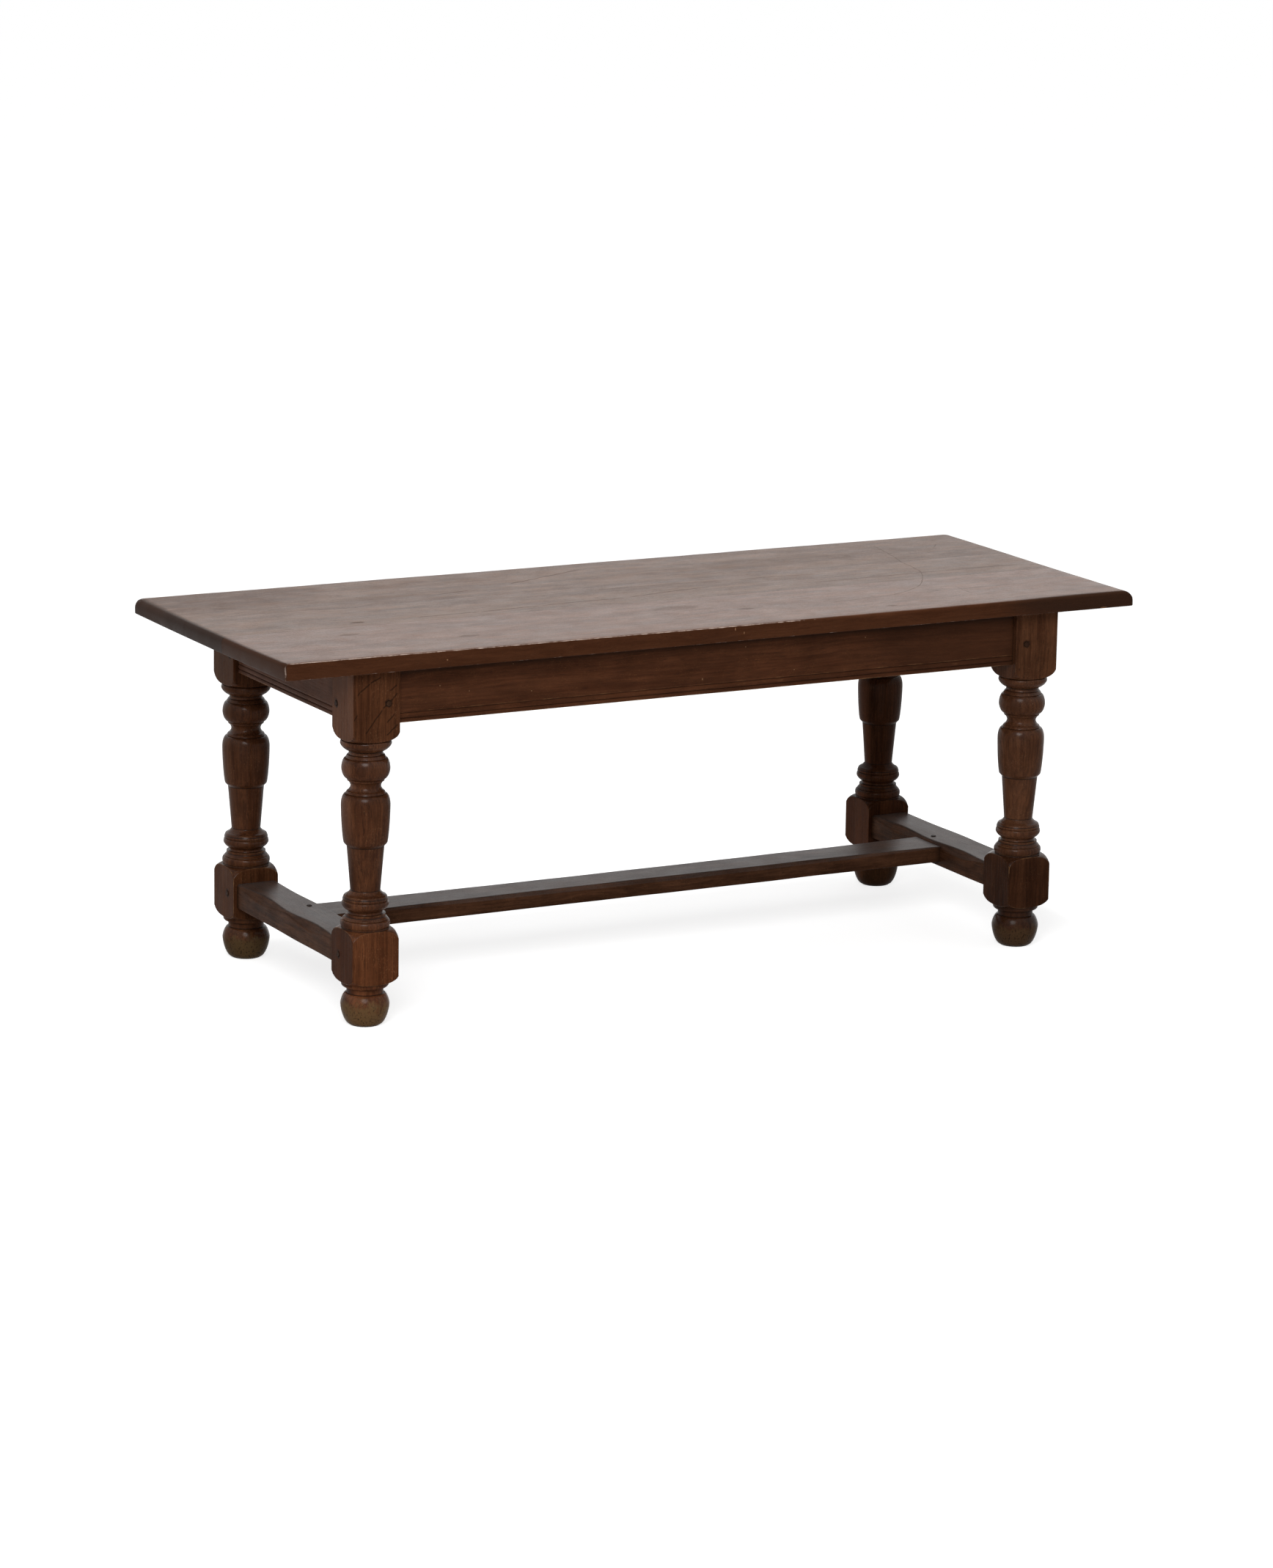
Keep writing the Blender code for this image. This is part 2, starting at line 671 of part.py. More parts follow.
def button_places():
    """Name, side, turn and centre line of each button, with the apron it grips."""
    places = []
    reach = leg_x - half_leg - BUTTON_INSET
    for side, label, turn in ((1, "rear", 0), (-1, "front", math.pi)):
        for step in (-1, 0, 1):
            name = "button_%s_%d" % (label, step + 2)
            places.append((name, "apron_" + label, turn, (step * reach, 0, 0), long_apron_y))
    for side, label, turn in ((-1, "left", math.pi / 2), (1, "right", -math.pi / 2)):
        places.append(("button_" + label, "apron_" + label, turn, (0, 0, 0), end_apron_x))
    return places


# Assembly


def build():
    clear_scene()
    legs = {}
    for side_y, depth in ((-1, "front"), (1, "rear")):
        for side_x, hand in ((-1, "left"), (1, "right")):
            legs[side_x, side_y] = make_leg("leg_%s_%s" % (depth, hand), side_x, side_y)

    aprons, mortises = {}, {}
    long_half, end_half = leg_x - half_leg, leg_y - half_leg
    for side, label, turn in ((-1, "front", 0), (1, "rear", math.pi)):
        made = make_apron("apron_" + label, long_half, (0, side * long_apron_y, 0), turn)
        aprons["apron_" + label], mortise = made
        for side_x in (-1, 1):
            cut(legs[side_x, side], mortise)
    for side, label, turn in ((-1, "left", -math.pi / 2), (1, "right", math.pi / 2)):
        made = make_apron("apron_" + label, end_half, (side * end_apron_x, 0, 0), turn)
        aprons["apron_" + label], mortise = made
        for side_y in (-1, 1):
            cut(legs[side, side_y], mortise)

    long_bar, long_mortise = make_long_bar("stretcher_long")
    for side, label in ((-1, "left"), (1, "right")):
        bar, mortise = make_end_bar("stretcher_" + label, side)
        for side_y in (-1, 1):
            cut(legs[side, side_y], mortise)
        cut(bar, long_mortise)
        head_x = side * (leg_x - END_BAR_WIDTH / 2 + STRETCHER_PEG_INSET)
        head = (head_x, STRETCHER_PEG_OFFSET, end_bar_high)
        hole = make_peg("peg_stretcher_" + label, head, (0, 0, -1), END_BAR_DEPTH - STRETCHER_PEG_STOP)
        cut(bar, hole)
        cut(long_bar, hole)
        for side_y, depth in ((-1, "front"), (1, "rear")):
            head = (side * (leg_x + half_leg), side_y * (leg_y - END_BAR_PEG_REACH), end_bar_middle)
            hole = make_peg("peg_lower_%s_%s" % (depth, label), head, (-side, 0, 0), LEG_PEG_LENGTH)
            cut(bar, hole)
            cut(legs[side, side_y], hole)

    for (side_x, side_y), leg in legs.items():
        hand = "left" if side_x < 0 else "right"
        depth = "front" if side_y < 0 else "rear"
        height = top_underside - LONG_APRON_PEG_DROP
        head = (side_x * (leg_x - LONG_APRON_PEG_REACH), side_y * (leg_y + half_leg), height)
        hole = make_peg("peg_long_%s_%s" % (depth, hand), head, (0, -side_y, 0), LEG_PEG_LENGTH)
        cut(leg, hole)
        cut(aprons["apron_" + depth], hole)
        height = top_underside - END_APRON_PEG_DROP
        head = (side_x * (leg_x + half_leg), side_y * (leg_y - END_APRON_PEG_REACH), height)
        hole = make_peg("peg_end_%s_%s" % (depth, hand), head, (-side_x, 0, 0), LEG_PEG_LENGTH)
        cut(leg, hole)
        cut(aprons["apron_" + hand], hole)

    boards = make_boards()
    for name, apron, turn, centre, apron_middle in button_places():
        slot, hole = make_button(name, turn, centre, apron_middle)
        cut(aprons[apron], slot)
        for board in boards:
            cut(board, hole)


build()
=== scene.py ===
import math

import bmesh
import bpy
from mathutils import Matrix, Vector, noise


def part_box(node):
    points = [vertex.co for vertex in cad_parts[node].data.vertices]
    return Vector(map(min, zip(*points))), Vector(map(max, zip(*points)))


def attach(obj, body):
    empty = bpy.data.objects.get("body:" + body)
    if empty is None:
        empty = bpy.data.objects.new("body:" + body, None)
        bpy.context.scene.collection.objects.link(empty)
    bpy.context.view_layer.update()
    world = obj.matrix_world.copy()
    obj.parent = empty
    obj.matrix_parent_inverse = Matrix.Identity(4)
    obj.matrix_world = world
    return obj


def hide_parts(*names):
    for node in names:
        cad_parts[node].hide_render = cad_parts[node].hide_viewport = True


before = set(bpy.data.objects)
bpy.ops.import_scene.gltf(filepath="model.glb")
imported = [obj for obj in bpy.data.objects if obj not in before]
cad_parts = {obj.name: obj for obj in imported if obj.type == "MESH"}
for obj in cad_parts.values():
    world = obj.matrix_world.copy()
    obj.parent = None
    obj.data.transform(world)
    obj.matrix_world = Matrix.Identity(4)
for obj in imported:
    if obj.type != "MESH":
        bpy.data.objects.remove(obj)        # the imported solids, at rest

# Turned oak coffee table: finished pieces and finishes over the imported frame.
# Metres, +Z up. The front is -Y, and the origin is on the floor under the middle of the top.

noise.seed_set(1)  # the wavering of hand-planed wood is the same each run
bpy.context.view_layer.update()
print("frame loaded:", len(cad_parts), "solids")

seatGap = 0.0003  # between two pieces that touch
weldDistance = 0.00001  # points closer than this are one point


# Mesh helpers

def markLayers(bm):  # worn edges, and dirty grooves with painted shade under the top and near the legs, read by the finishes
    return bm.verts.layers.float.new("worn"), bm.verts.layers.float.new("dirty")


def newObject(name, bm):
    mesh = bpy.data.meshes.new(name)
    bm.to_mesh(mesh)
    bm.free()
    made = bpy.data.objects.new(name, mesh)
    bpy.context.scene.collection.objects.link(made)
    return made


def finishPiece(name, ending, bm, material, sharpAngle):
    bmesh.ops.recalc_face_normals(bm, faces=bm.faces)
    piece = newObject(name + "_" + ending, bm)
    piece.data.shade_smooth()
    piece.data.set_sharp_from_angle(angle=math.radians(sharpAngle))
    piece.data.materials.append(material)
    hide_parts(name)
    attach(piece, "root")
    return piece


def standAt(bm, turn, x, y, z=0):  # turns about the upright, then moves
    bmesh.ops.rotate(bm, verts=bm.verts, cent=(0, 0, 0), matrix=Matrix.Rotation(turn, 3, "Z"))
    bmesh.ops.translate(bm, verts=bm.verts, vec=(x, y, z))


def bisect(bm, place, out, weld, **settings):
    whole = bm.verts[:] + bm.edges[:] + bm.faces[:]
    return bmesh.ops.bisect_plane(bm, geom=whole, dist=weld, plane_co=place, plane_no=out, **settings)


def spinProfile(bm, points, sides, layers=()):
    # A point is a radius and a height, then a value for each of the layers.
    verts = []
    for radius, height, *marks in points:
        verts.append(bm.verts.new((radius, 0, height)))
        for layer, mark in zip(layers, marks):
            verts[-1][layer] = mark
    edges = [bm.edges.new(pair) for pair in zip(verts, verts[1:])]
    bmesh.ops.spin(
        bm, geom=verts + edges, cent=(0, 0, 0), axis=(0, 0, 1), angle=2 * math.pi, steps=sides,
        use_merge=True,
    )
    bmesh.ops.remove_doubles(bm, verts=bm.verts, dist=weldDistance)


def sweep(bm, rings):
    # Extrudes a closed ring of points from place to place; a point is (x, y, z, worn, dirt and shade).
    worn, dirty = markLayers(bm)
    verts, edges = [], []
    for ring in rings:
        if not verts:
            verts = [bm.verts.new(point[:3]) for point in ring]
            edges = [bm.edges.new((verts[k - 1], verts[k])) for k in range(len(verts))]
            bmesh.ops.contextual_create(bm, geom=edges)
        else:
            grown = bmesh.ops.extrude_edge_only(bm, edges=edges)["geom"]
            fresh = {part for part in grown if isinstance(part, bmesh.types.BMVert)}
            edges = [
                part for part in grown
                if isinstance(part, bmesh.types.BMEdge) and set(part.verts) <= fresh
            ]
            verts = [
                next(edge.other_vert(vert) for edge in vert.link_edges if edge.other_vert(vert) in fresh)
                for vert in verts
            ]
        for vert, point in zip(verts, ring):
            vert.co = point[:3]
            vert[worn], vert[dirty] = point[3:]
    bmesh.ops.contextual_create(bm, geom=edges)
    bmesh.ops.remove_doubles(bm, verts=bm.verts, dist=weldDistance)


def easedOutline(corners, easing, support):
    # Rounds each corner of an outline, with an unworn point a little way off on both sides.
    # A corner is (across, up, worn, dirt and shade), and so is each point of the result.
    points = []
    for k, (across, up, worn, dirty) in enumerate(corners):
        here = Vector((across, up))
        back = Vector(corners[k - 1][:2]) - here
        ahead = Vector(corners[(k + 1) % len(corners)][:2]) - here
        room = min(back.length, ahead.length) * 0.48
        cut, reach = min(easing, room * 0.6), min(support, room)
        start, end = here + back.normalized() * cut, here + ahead.normalized() * cut
        points.append((*(here + back.normalized() * reach), 0, 0))
        for turn in (0, 0.25, 0.5, 0.75, 1):
            spot = start * (1 - turn) ** 2 + here * 2 * turn * (1 - turn) + end * turn ** 2
            points.append((*spot, worn, dirty))
        points.append((*(here + ahead.normalized() * reach), 0, 0))
    return points


def waver(bm, amount, size, seed):  # the slight unevenness of hand-planed wood
    for vert in bm.verts:
        spot = vert.co / size + Vector((seed, seed * 0.7, 0))
        vert.co += noise.noise_vector(spot) * amount


def steps(low, high, size):
    count = max(1, round((high - low) / size))
    return [low + (high - low) * k / count for k in range(count + 1)]


def smoothStep(low, high, value):
    share = min(max((value - low) / (high - low), 0), 1)
    return share * share * (3 - 2 * share)


# Shader helpers

def setInputs(tree, node, values):  # an output is linked, and any other value is set
    for key, value in values.items():
        if isinstance(value, bpy.types.NodeSocket):
            tree.links.new(value, node.inputs[key])
        else:
            node.inputs[key].default_value = value


def addNode(tree, kind, values=(), **settings):
    made = tree.nodes.new(kind)
    for key, value in settings.items():
        setattr(made, key, value)
    setInputs(tree, made, dict(values))
    return made


def newMaterial(name):
    material = bpy.data.materials.new(name)
    material.use_nodes = True
    tree = material.node_tree
    return material, tree, tree.nodes["Principled BSDF"]


def maths(tree, operation, *values):
    values = dict(enumerate(values))
    return addNode(tree, "ShaderNodeMath", values, operation=operation).outputs[0]


def times(tree, first, second):
    return maths(tree, "MULTIPLY", first, second)


def vectorMaths(tree, operation, *values, out=0):
    values = dict(enumerate(values))
    return addNode(tree, "ShaderNodeVectorMath", values, operation=operation).outputs[out]


def scaled(tree, vector, amount):
    values = {0: vector, "Scale": amount}
    return addNode(tree, "ShaderNodeVectorMath", values, operation="SCALE").outputs[0]


def axesOf(tree, vector):
    return addNode(tree, "ShaderNodeSeparateXYZ", {0: vector}).outputs


def ramp(tree, value, low, high, toLow=0.0, toHigh=1.0):
    values = {"Value": value, "From Min": low, "From Max": high, "To Min": toLow, "To Max": toHigh}
    return addNode(tree, "ShaderNodeMapRange", values, interpolation_type="SMOOTHSTEP").outputs[0]


def mixColor(tree, factor, under, over, blend="MIX"):
    made = addNode(tree, "ShaderNodeMix", data_type="RGBA", blend_type=blend, clamp_factor=True)
    for key, value in (("Factor_Float", factor), ("A_Color", under), ("B_Color", over)):
        socket = next(one for one in made.inputs if one.identifier == key)
        if isinstance(value, bpy.types.NodeSocket):
            tree.links.new(value, socket)
        else:
            socket.default_value = value if isinstance(value, float) else (*value, 1)
    return next(one for one in made.outputs if one.identifier == "Result_Color")


def noiseAt(tree, vector, scale, detail, rough=0.5):
    values = {"Vector": vector, "Scale": scale, "Detail": detail, "Roughness": rough}
    return addNode(tree, "ShaderNodeTexNoise", values).outputs[0]


def stretched(tree, vector, across, along):
    # Scales a vector for a pattern that is drawn out along X: sizes in metres.
    return vectorMaths(tree, "MULTIPLY", vector, (1 / along, 1 / across, 1 / across))


def grainNoise(tree, vector, across, along, detail, rough=0.5):
    return noiseAt(tree, stretched(tree, vector, across, along), 1.0, detail, rough)


def newGroup(name, vectors, numbers, outputs):
    # The numbers are inputs with their defaults, and each output is a number too.
    tree = bpy.data.node_groups.new(name, "ShaderNodeTree")
    for label in vectors:
        tree.interface.new_socket(label, in_out="INPUT", socket_type="NodeSocketVector")
    for label, value in numbers.items():
        socket = tree.interface.new_socket(label, in_out="INPUT", socket_type="NodeSocketFloat")
        socket.default_value = value
    for label in outputs:
        tree.interface.new_socket(label, in_out="OUTPUT", socket_type="NodeSocketFloat")
    source = tree.nodes.new("NodeGroupInput").outputs
    target = tree.nodes.new("NodeGroupOutput").inputs
    return tree, source, target


def useGroup(tree, name, values):
    return addNode(tree, "ShaderNodeGroup", values, node_tree=bpy.data.node_groups[name]).outputs


# Camera, light and floor

camera = {
    "aim": (0.0013, 0.0013, 0.2559), "distance": 8.010, "lens": 122.48,
    "azimuth": -28.148, "elevation": 12.880, "roll": 0.9219,
}


def makeCamera():
    azimuth, elevation, roll = (math.radians(camera[key]) for key in ("azimuth", "elevation", "roll"))
    back = Vector((
        math.sin(azimuth) * math.cos(elevation), -math.cos(azimuth) * math.cos(elevation),
        math.sin(elevation),
    ))
    data = bpy.data.cameras.new("camera")
    data.lens, data.sensor_width, data.sensor_fit = camera["lens"], 36, "AUTO"
    data.clip_end = 200
    made = bpy.data.objects.new("camera", data)
    turn = Matrix.Rotation(azimuth, 4, "Z") @ Matrix.Rotation(math.pi / 2 - elevation, 4, "X")
    place = Matrix.Translation(Vector(camera["aim"]) + back * camera["distance"])
    made.matrix_world = place @ turn @ Matrix.Rotation(roll, 4, "Z")
    bpy.context.scene.collection.objects.link(made)
    bpy.context.scene.camera = made


light = {
    "worldLevel": 0.38, "lampHeight": 3.2, "lampSize": 0.28, "lampPower": 24.0,
    "lampPlaces": ((-0.37, 0.20), (0.59, -0.32)),
    "fillPlace": (-2.2, -3.2, 2.6), "fillSize": 2.0, "fillPower": 88.0,
    "floorSize": 60.0, "floorColor": (0.68, 0.68, 0.68), "floorGlow": 0.74,
}


def seenRay(tree):  # 1 for rays from the camera and for those mirrored or passed on
    path = tree.nodes.new("ShaderNodeLightPath")
    seen = path.outputs["Is Camera Ray"]
    for name in ("Is Glossy Ray", "Is Transmission Ray"):
        seen = maths(tree, "MAXIMUM", seen, path.outputs[name])
    return seen


def makeWorld():
    world = bpy.data.worlds.new("studio")
    world.use_nodes = True
    tree = world.node_tree
    values = {"Value": seenRay(tree), "To Min": light["worldLevel"], "To Max": 1.0}
    level = addNode(tree, "ShaderNodeMapRange", values).outputs[0]
    setInputs(tree, tree.nodes["Background"], {"Color": (1, 1, 1, 1), "Strength": level})
    bpy.context.scene.world = world


def makeLamp(name, place, size, power, aim):
    data = bpy.data.lights.new(name, "AREA")
    data.shape, data.size, data.energy = "DISK", size, power
    lamp = bpy.data.objects.new(name, data)
    direction = Vector(aim) - Vector(place)
    turn = direction.to_track_quat("-Z", "Y").to_matrix().to_4x4()
    lamp.matrix_world = Matrix.Translation(Vector(place)) @ turn
    bpy.context.scene.collection.objects.link(lamp)


def makeFloor():
    bm = bmesh.new()
    bmesh.ops.create_grid(bm, x_segments=1, y_segments=1, size=light["floorSize"])
    floor = newObject("floor", bm)
    material, tree, shader = newMaterial("pale floor")
    setInputs(tree, shader, {
        "Base Color": (*light["floorColor"], 1), "Roughness": 1.0, "Specular IOR Level": 0.0,
        "Emission Color": (1, 1, 1, 1), "Emission Strength": times(tree, seenRay(tree), light["floorGlow"]),
    })
    floor.data.materials.append(material)


scene = bpy.context.scene
scene.view_settings.view_transform = "Standard"
makeCamera()
makeWorld()
makeFloor()
for number, (x, y) in enumerate(light["lampPlaces"], 1):
    place = (x, y, light["lampHeight"])
    makeLamp("lamp %d" % number, place, light["lampSize"], light["lampPower"], (x, y, 0))
makeLamp("fill", light["fillPlace"], light["fillSize"], light["fillPower"], (0, 0, 0.25))
print("camera, light and floor set")


# Finishes: effects that several materials share

def makeGrainGroup():
    # Oak with its grain along X: growth rings round a pith line at y = z = 0.
    numbers = {"Ring Size": 0.004, "Wander": 0.01}
    outputs = ("Tone", "Rings", "Pores", "Flecks", "Scuffs")
    tree, source, target = newGroup("oak grain", ("Vector",), numbers, outputs)
    vector = warped = source["Vector"]
    for across, along, detail, amount in ((0.05, 0.28, 2.0, source["Wander"]), (0.008, 0.05, 1.0, 0.0014)):
        values = {"Vector": stretched(tree, vector, across, along), "Scale": 1.0, "Detail": detail}
        drift = addNode(tree, "ShaderNodeTexNoise", values).outputs["Color"]
        drift = vectorMaths(tree, "SUBTRACT", drift, (0.5, 0.5, 0.5))
        warped = vectorMaths(tree, "ADD", warped, scaled(tree, drift, amount))
    radius = vectorMaths(tree, "LENGTH", vectorMaths(tree, "MULTIPLY", warped, (0, 1, 1)), out=1)
    phase = maths(tree, "DIVIDE", radius, source["Ring Size"])
    phase = maths(tree, "MULTIPLY_ADD", grainNoise(tree, warped, 0.012, 0.6, 1.0), 1.6, phase)
    saw = maths(tree, "FRACT", phase)
    late = times(tree, ramp(tree, saw, 0.35, 0.9), ramp(tree, saw, 0.9, 1.0, 1.0, 0.0))
    broad = grainNoise(tree, warped, 0.022, 0.45, 2.0)
    narrow = grainNoise(tree, warped, 0.0035, 0.12, 2.0)
    tone = maths(tree, "ADD", times(tree, broad, 0.55), times(tree, narrow, 0.45))
    pores = ramp(tree, grainNoise(tree, warped, 0.0010, 0.022, 1.5), 0.56, 0.70)
    pores = times(tree, pores, maths(tree, "MULTIPLY_ADD", late, -0.65, 1.0))
    patch = ramp(tree, grainNoise(tree, vector, 0.025, 0.05, 1.0), 0.48, 0.62)
    fleck = ramp(tree, grainNoise(tree, vector, 0.0016, 0.0035, 1.0), 0.60, 0.70)
    tick = ramp(tree, grainNoise(tree, vector, 0.0009, 0.0040, 1.0), 0.66, 0.76)
    worked = ramp(tree, grainNoise(tree, vector, 0.02, 0.04, 2.0), 0.42, 0.60)
    results = (
        ramp(tree, tone, 0.32, 0.68), late, pores, times(tree, patch, fleck), times(tree, tick, worked),
    )
    for label, result in zip(outputs, results):
        tree.links.new(result, target[label])


def makeScratchGroup():
    # A line from one point to another, seen from above, that bows sideways in the middle.
    numbers = {"Bow": 0.0, "Width": 0.002}
    tree, source, target = newGroup("scratch", ("Vector", "From", "To"), numbers, ("Mask",))
    flat = vectorMaths(tree, "MULTIPLY", source["Vector"], (1, 1, 0))
    along = vectorMaths(tree, "SUBTRACT", source["To"], source["From"])
    offset = vectorMaths(tree, "SUBTRACT", flat, source["From"])
    length = vectorMaths(tree, "LENGTH", along, out=1)
    unit = vectorMaths(tree, "NORMALIZE", along)
    share = maths(tree, "DIVIDE", vectorMaths(tree, "DOT_PRODUCT", offset, unit, out=1), length)
    side = axesOf(tree, vectorMaths(tree, "CROSS_PRODUCT", unit, offset))[2]
    arch = times(tree, maths(tree, "MULTIPLY_ADD", share, -4.0, 4.0), share)
    side = maths(tree, "SUBTRACT", side, times(tree, arch, source["Bow"]))
    rough = maths(tree, "SUBTRACT", noiseAt(tree, flat, 60.0, 1.0), 0.5)
    side = maths(tree, "MULTIPLY_ADD", rough, 0.004, side)
    near = maths(tree, "DIVIDE", maths(tree, "ABSOLUTE", side), source["Width"])
    line = ramp(tree, near, 0.25, 1.0, 1.0, 0.0)
    ends = times(tree, ramp(tree, share, -0.01, 0.08), ramp(tree, share, 0.92, 1.01, 1.0, 0.0))
    tree.links.new(times(tree, line, ends), target["Mask"])


def makeSpotGroup():  # a soft-edged oval: knots, stains and the dirt round a peg
    tree, source, target = newGroup("spot", ("Vector", "Centre", "Size"), {}, ("Mask",))
    offset = vectorMaths(tree, "SUBTRACT", source["Vector"], source["Centre"])
    offset = vectorMaths(tree, "DIVIDE", offset, source["Size"])
    distance = vectorMaths(tree, "LENGTH", offset, out=1)
    rough = maths(tree, "SUBTRACT", noiseAt(tree, offset, 1.6, 2.0), 0.5)
    distance = maths(tree, "MULTIPLY_ADD", rough, 0.7, distance)
    tree.links.new(ramp(tree, distance, 0.55, 1.0, 1.0, 0.0), target["Mask"])


def makeWearGroup():  # breaks up the marked edges, so that the wear comes and goes
    numbers = {"Marked": 0.0, "Amount": 1.0, "Patch Size": 0.03}
    tree, source, target = newGroup("edge wear", ("Vector",), numbers, ("Mask",))
    size = maths(tree, "DIVIDE", 1.0, source["Patch Size"])
    patch = noiseAt(tree, scaled(tree, source["Vector"], size), 1.0, 4.0, 0.65)
    level = times(tree, source["Marked"], source["Amount"])
    level = maths(tree, "ADD", level, maths(tree, "MULTIPLY_ADD", patch, 1.3, -1.15))
    tree.links.new(ramp(tree, level, 0.0, 0.55), target["Mask"])


def makeDustGroup():  # dust and grime that settle on upward faces
    tree, source, target = newGroup("dust", ("Vector", "Normal"), {"Amount": 0.5}, ("Dust", "Grime"))
    facing = ramp(tree, axesOf(tree, source["Normal"])[2], 0.45, 0.95)
    cloud = noiseAt(tree, source["Vector"], 9.0, 5.0, 0.6)
    grit = noiseAt(tree, source["Vector"], 560.0, 2.0, 0.6)
    pale = times(tree, ramp(tree, cloud, 0.30, 0.62, 0.45, 1.0), ramp(tree, grit, 0.32, 0.62, 0.45, 1.0))
    dark = times(tree, ramp(tree, cloud, 0.46, 0.34), ramp(tree, grit, 0.5, 0.62))
    tree.links.new(times(tree, times(tree, facing, pale), source["Amount"]), target["Dust"])
    tree.links.new(times(tree, facing, dark), target["Grime"])


def makeWaxGroup():  # wax rubbed into upward faces, thinner here and there
    tree, source, target = newGroup("wax", ("Vector", "Normal"), {"Amount": 1.0}, ("Mask",))
    broad = grainNoise(tree, source["Vector"], 0.035, 0.11, 4.0, 0.62)
    fine = grainNoise(tree, source["Vector"], 0.0013, 0.0045, 2.0, 0.6)
    level = times(tree, ramp(tree, broad, 0.30, 0.70, 0.80, 1.0), ramp(tree, fine, 0.3, 0.7, 0.68, 1.0))
    level = times(tree, level, ramp(tree, axesOf(tree, source["Normal"])[2], 0.72, 0.985))
    tree.links.new(times(tree, level, source["Amount"]), target["Mask"])


for makeGroup in (
    makeGrainGroup, makeScratchGroup, makeSpotGroup, makeWearGroup, makeDustGroup, makeWaxGroup,
):
    makeGroup()


grainAxes = {"X": (0, 1, 2), "Y": (1, 0, 2), "Z": (2, 1, 0)}
commonLook = {
    "axis": "X", "pith": (0, 0, -0.25), "ringSize": 0.005, "wander": 0.02, "grainLength": 1.0,
    "rings": 0.30, "pores": 0.55, "flecks": 0.25, "scuffs": 0.0, "mottle": 0.0,
    "fleckColor": (0.16, 0.075, 0.035), "dirt": (0.010, 0.005, 0.003),
    "wornColor": (0.20, 0.105, 0.052), "wornAmount": 1.0, "wornPatch": 0.03,
    "roughness": (0.34, 0.48), "specular": 0.25, "bump": 0.0004,
    "polish": 0.0, "turnedPolish": 0.0, "polishGloss": (1.25, 0.34),
    "dust": 0.0, "dustColor": (0.16, 0.145, 0.14), "grime": 0.6,
    "marks": (), "spots": (), "judder": (), "cracks": (), "crackWidth": 0.0015,
    "foot": 0.0, "footColor": (0.080, 0.050, 0.0235), "lowToneAndPaintedLight": (1, 1, 1), "tint": (1, 1, 1),
    "sideTint": None, "sidePlain": 0.0, "endPaintedLight": None, "endFacing": (0.80, 0.97), "endPlain": 0.0,
}


def attribute(tree, name):
    return addNode(tree, "ShaderNodeAttribute", attribute_name=name).outputs["Fac"]


def addJudder(tree, look, place, along, color):  # the marks of a plane that juddered across the grain
    patches = [
        useGroup(tree, "spot", {"Vector": place, "Centre": centre, "Size": size})["Mask"]
        for centre, size in look["judder"]
    ]
    sway = noiseAt(tree, vectorMaths(tree, "MULTIPLY", place, (30, 30, 0)), 1.0, 1.0)
    wave = maths(tree, "SINE", maths(tree, "MULTIPLY_ADD", sway, 16.0, times(tree, along, 680.0)))
    mask = times(tree, maths(tree, "MAXIMUM", *patches), ramp(tree, wave, -0.2, 1.0, 0.0, 0.30))
    return mixColor(tree, mask, color, look["fleckColor"])


def addPlainEndsAndPaintedLight(tree, look, place, ends, color):  # the ends of blocks and boards, where less grain shows, multiplied by painted shade and painted sheen
    low, high = look["endPaintedLight"]
    # the end tint is painted light: darker ends are a painted shade, lighter and bluer ends a painted sheen
    tint = mixColor(tree, ramp(tree, axesOf(tree, place)[2], 0.20, 0.35), low, high)
    plain = mixColor(tree, 0.5, look["dark"], look["light"])
    color = mixColor(tree, times(tree, ends, look["endPlain"]), color, plain)
    return mixColor(tree, ends, color, mixColor(tree, 1.0, color, tint, "MULTIPLY"))


def addCracks(tree, look, place, facing, color):  # in the front of a block, from point to point in X and Z
    axes = axesOf(tree, place)
    flat = addNode(tree, "ShaderNodeCombineXYZ", {0: axes[0], 1: axes[2]}).outputs[0]
    front = ramp(tree, facing[1], -0.8, -0.95, 0.0, 0.72)
    for start, end in look["cracks"]:
        values = {"Vector": flat, "From": (*start, 0), "To": (*end, 0), "Width": look["crackWidth"]}
        mask = times(tree, useGroup(tree, "scratch", values)["Mask"], front)
        color = mixColor(tree, mask, color, look["dirt"])
    return color


def addFoot(tree, look, place, color):  # the stain has gone from the foot, in patches
    height = axesOf(tree, place)[2]
    blotch = noiseAt(tree, vectorMaths(tree, "MULTIPLY", place, (75, 75, 50)), 1.0, 6.0, 0.68)
    bare = maths(tree, "MULTIPLY_ADD", blotch, 0.060, ramp(tree, height, 0.012, 0.062, -0.012, -0.046))
    bare = times(tree, ramp(tree, bare, -0.004, 0.012), look["foot"])
    color = mixColor(tree, bare, color, look["footColor"])
    speck = noiseAt(tree, vectorMaths(tree, "MULTIPLY", place, (420, 420, 260)), 1.0, 3.0, 0.6)
    speck = times(tree, ramp(tree, speck, 0.54, 0.66), ramp(tree, height, 0.058, 0.012))
    color = mixColor(tree, times(tree, speck, look["foot"]), color, look["dirt"])
    # the lower part is tinted: partly the wood's own tone, partly painted light, lighter on the front left
    # leg and darker, a painted shade, on the front right
    color = mixColor(tree, ramp(tree, height, 0.19, 0.11), color, look["lowToneAndPaintedLight"], "MULTIPLY")
    return mixColor(tree, 1.0, color, look["tint"], "MULTIPLY")


def addSides(tree, look, facing, color):  # the sides of a board are darker and show less grain
    side = ramp(tree, facing[2], 0.78, 0.998, 1.0, 0.0)
    plain = mixColor(tree, 0.5, look["dark"], look["light"])
    color = mixColor(tree, times(tree, side, look["sidePlain"]), color, plain)
    return mixColor(tree, side, color, look["sideTint"], "MULTIPLY")


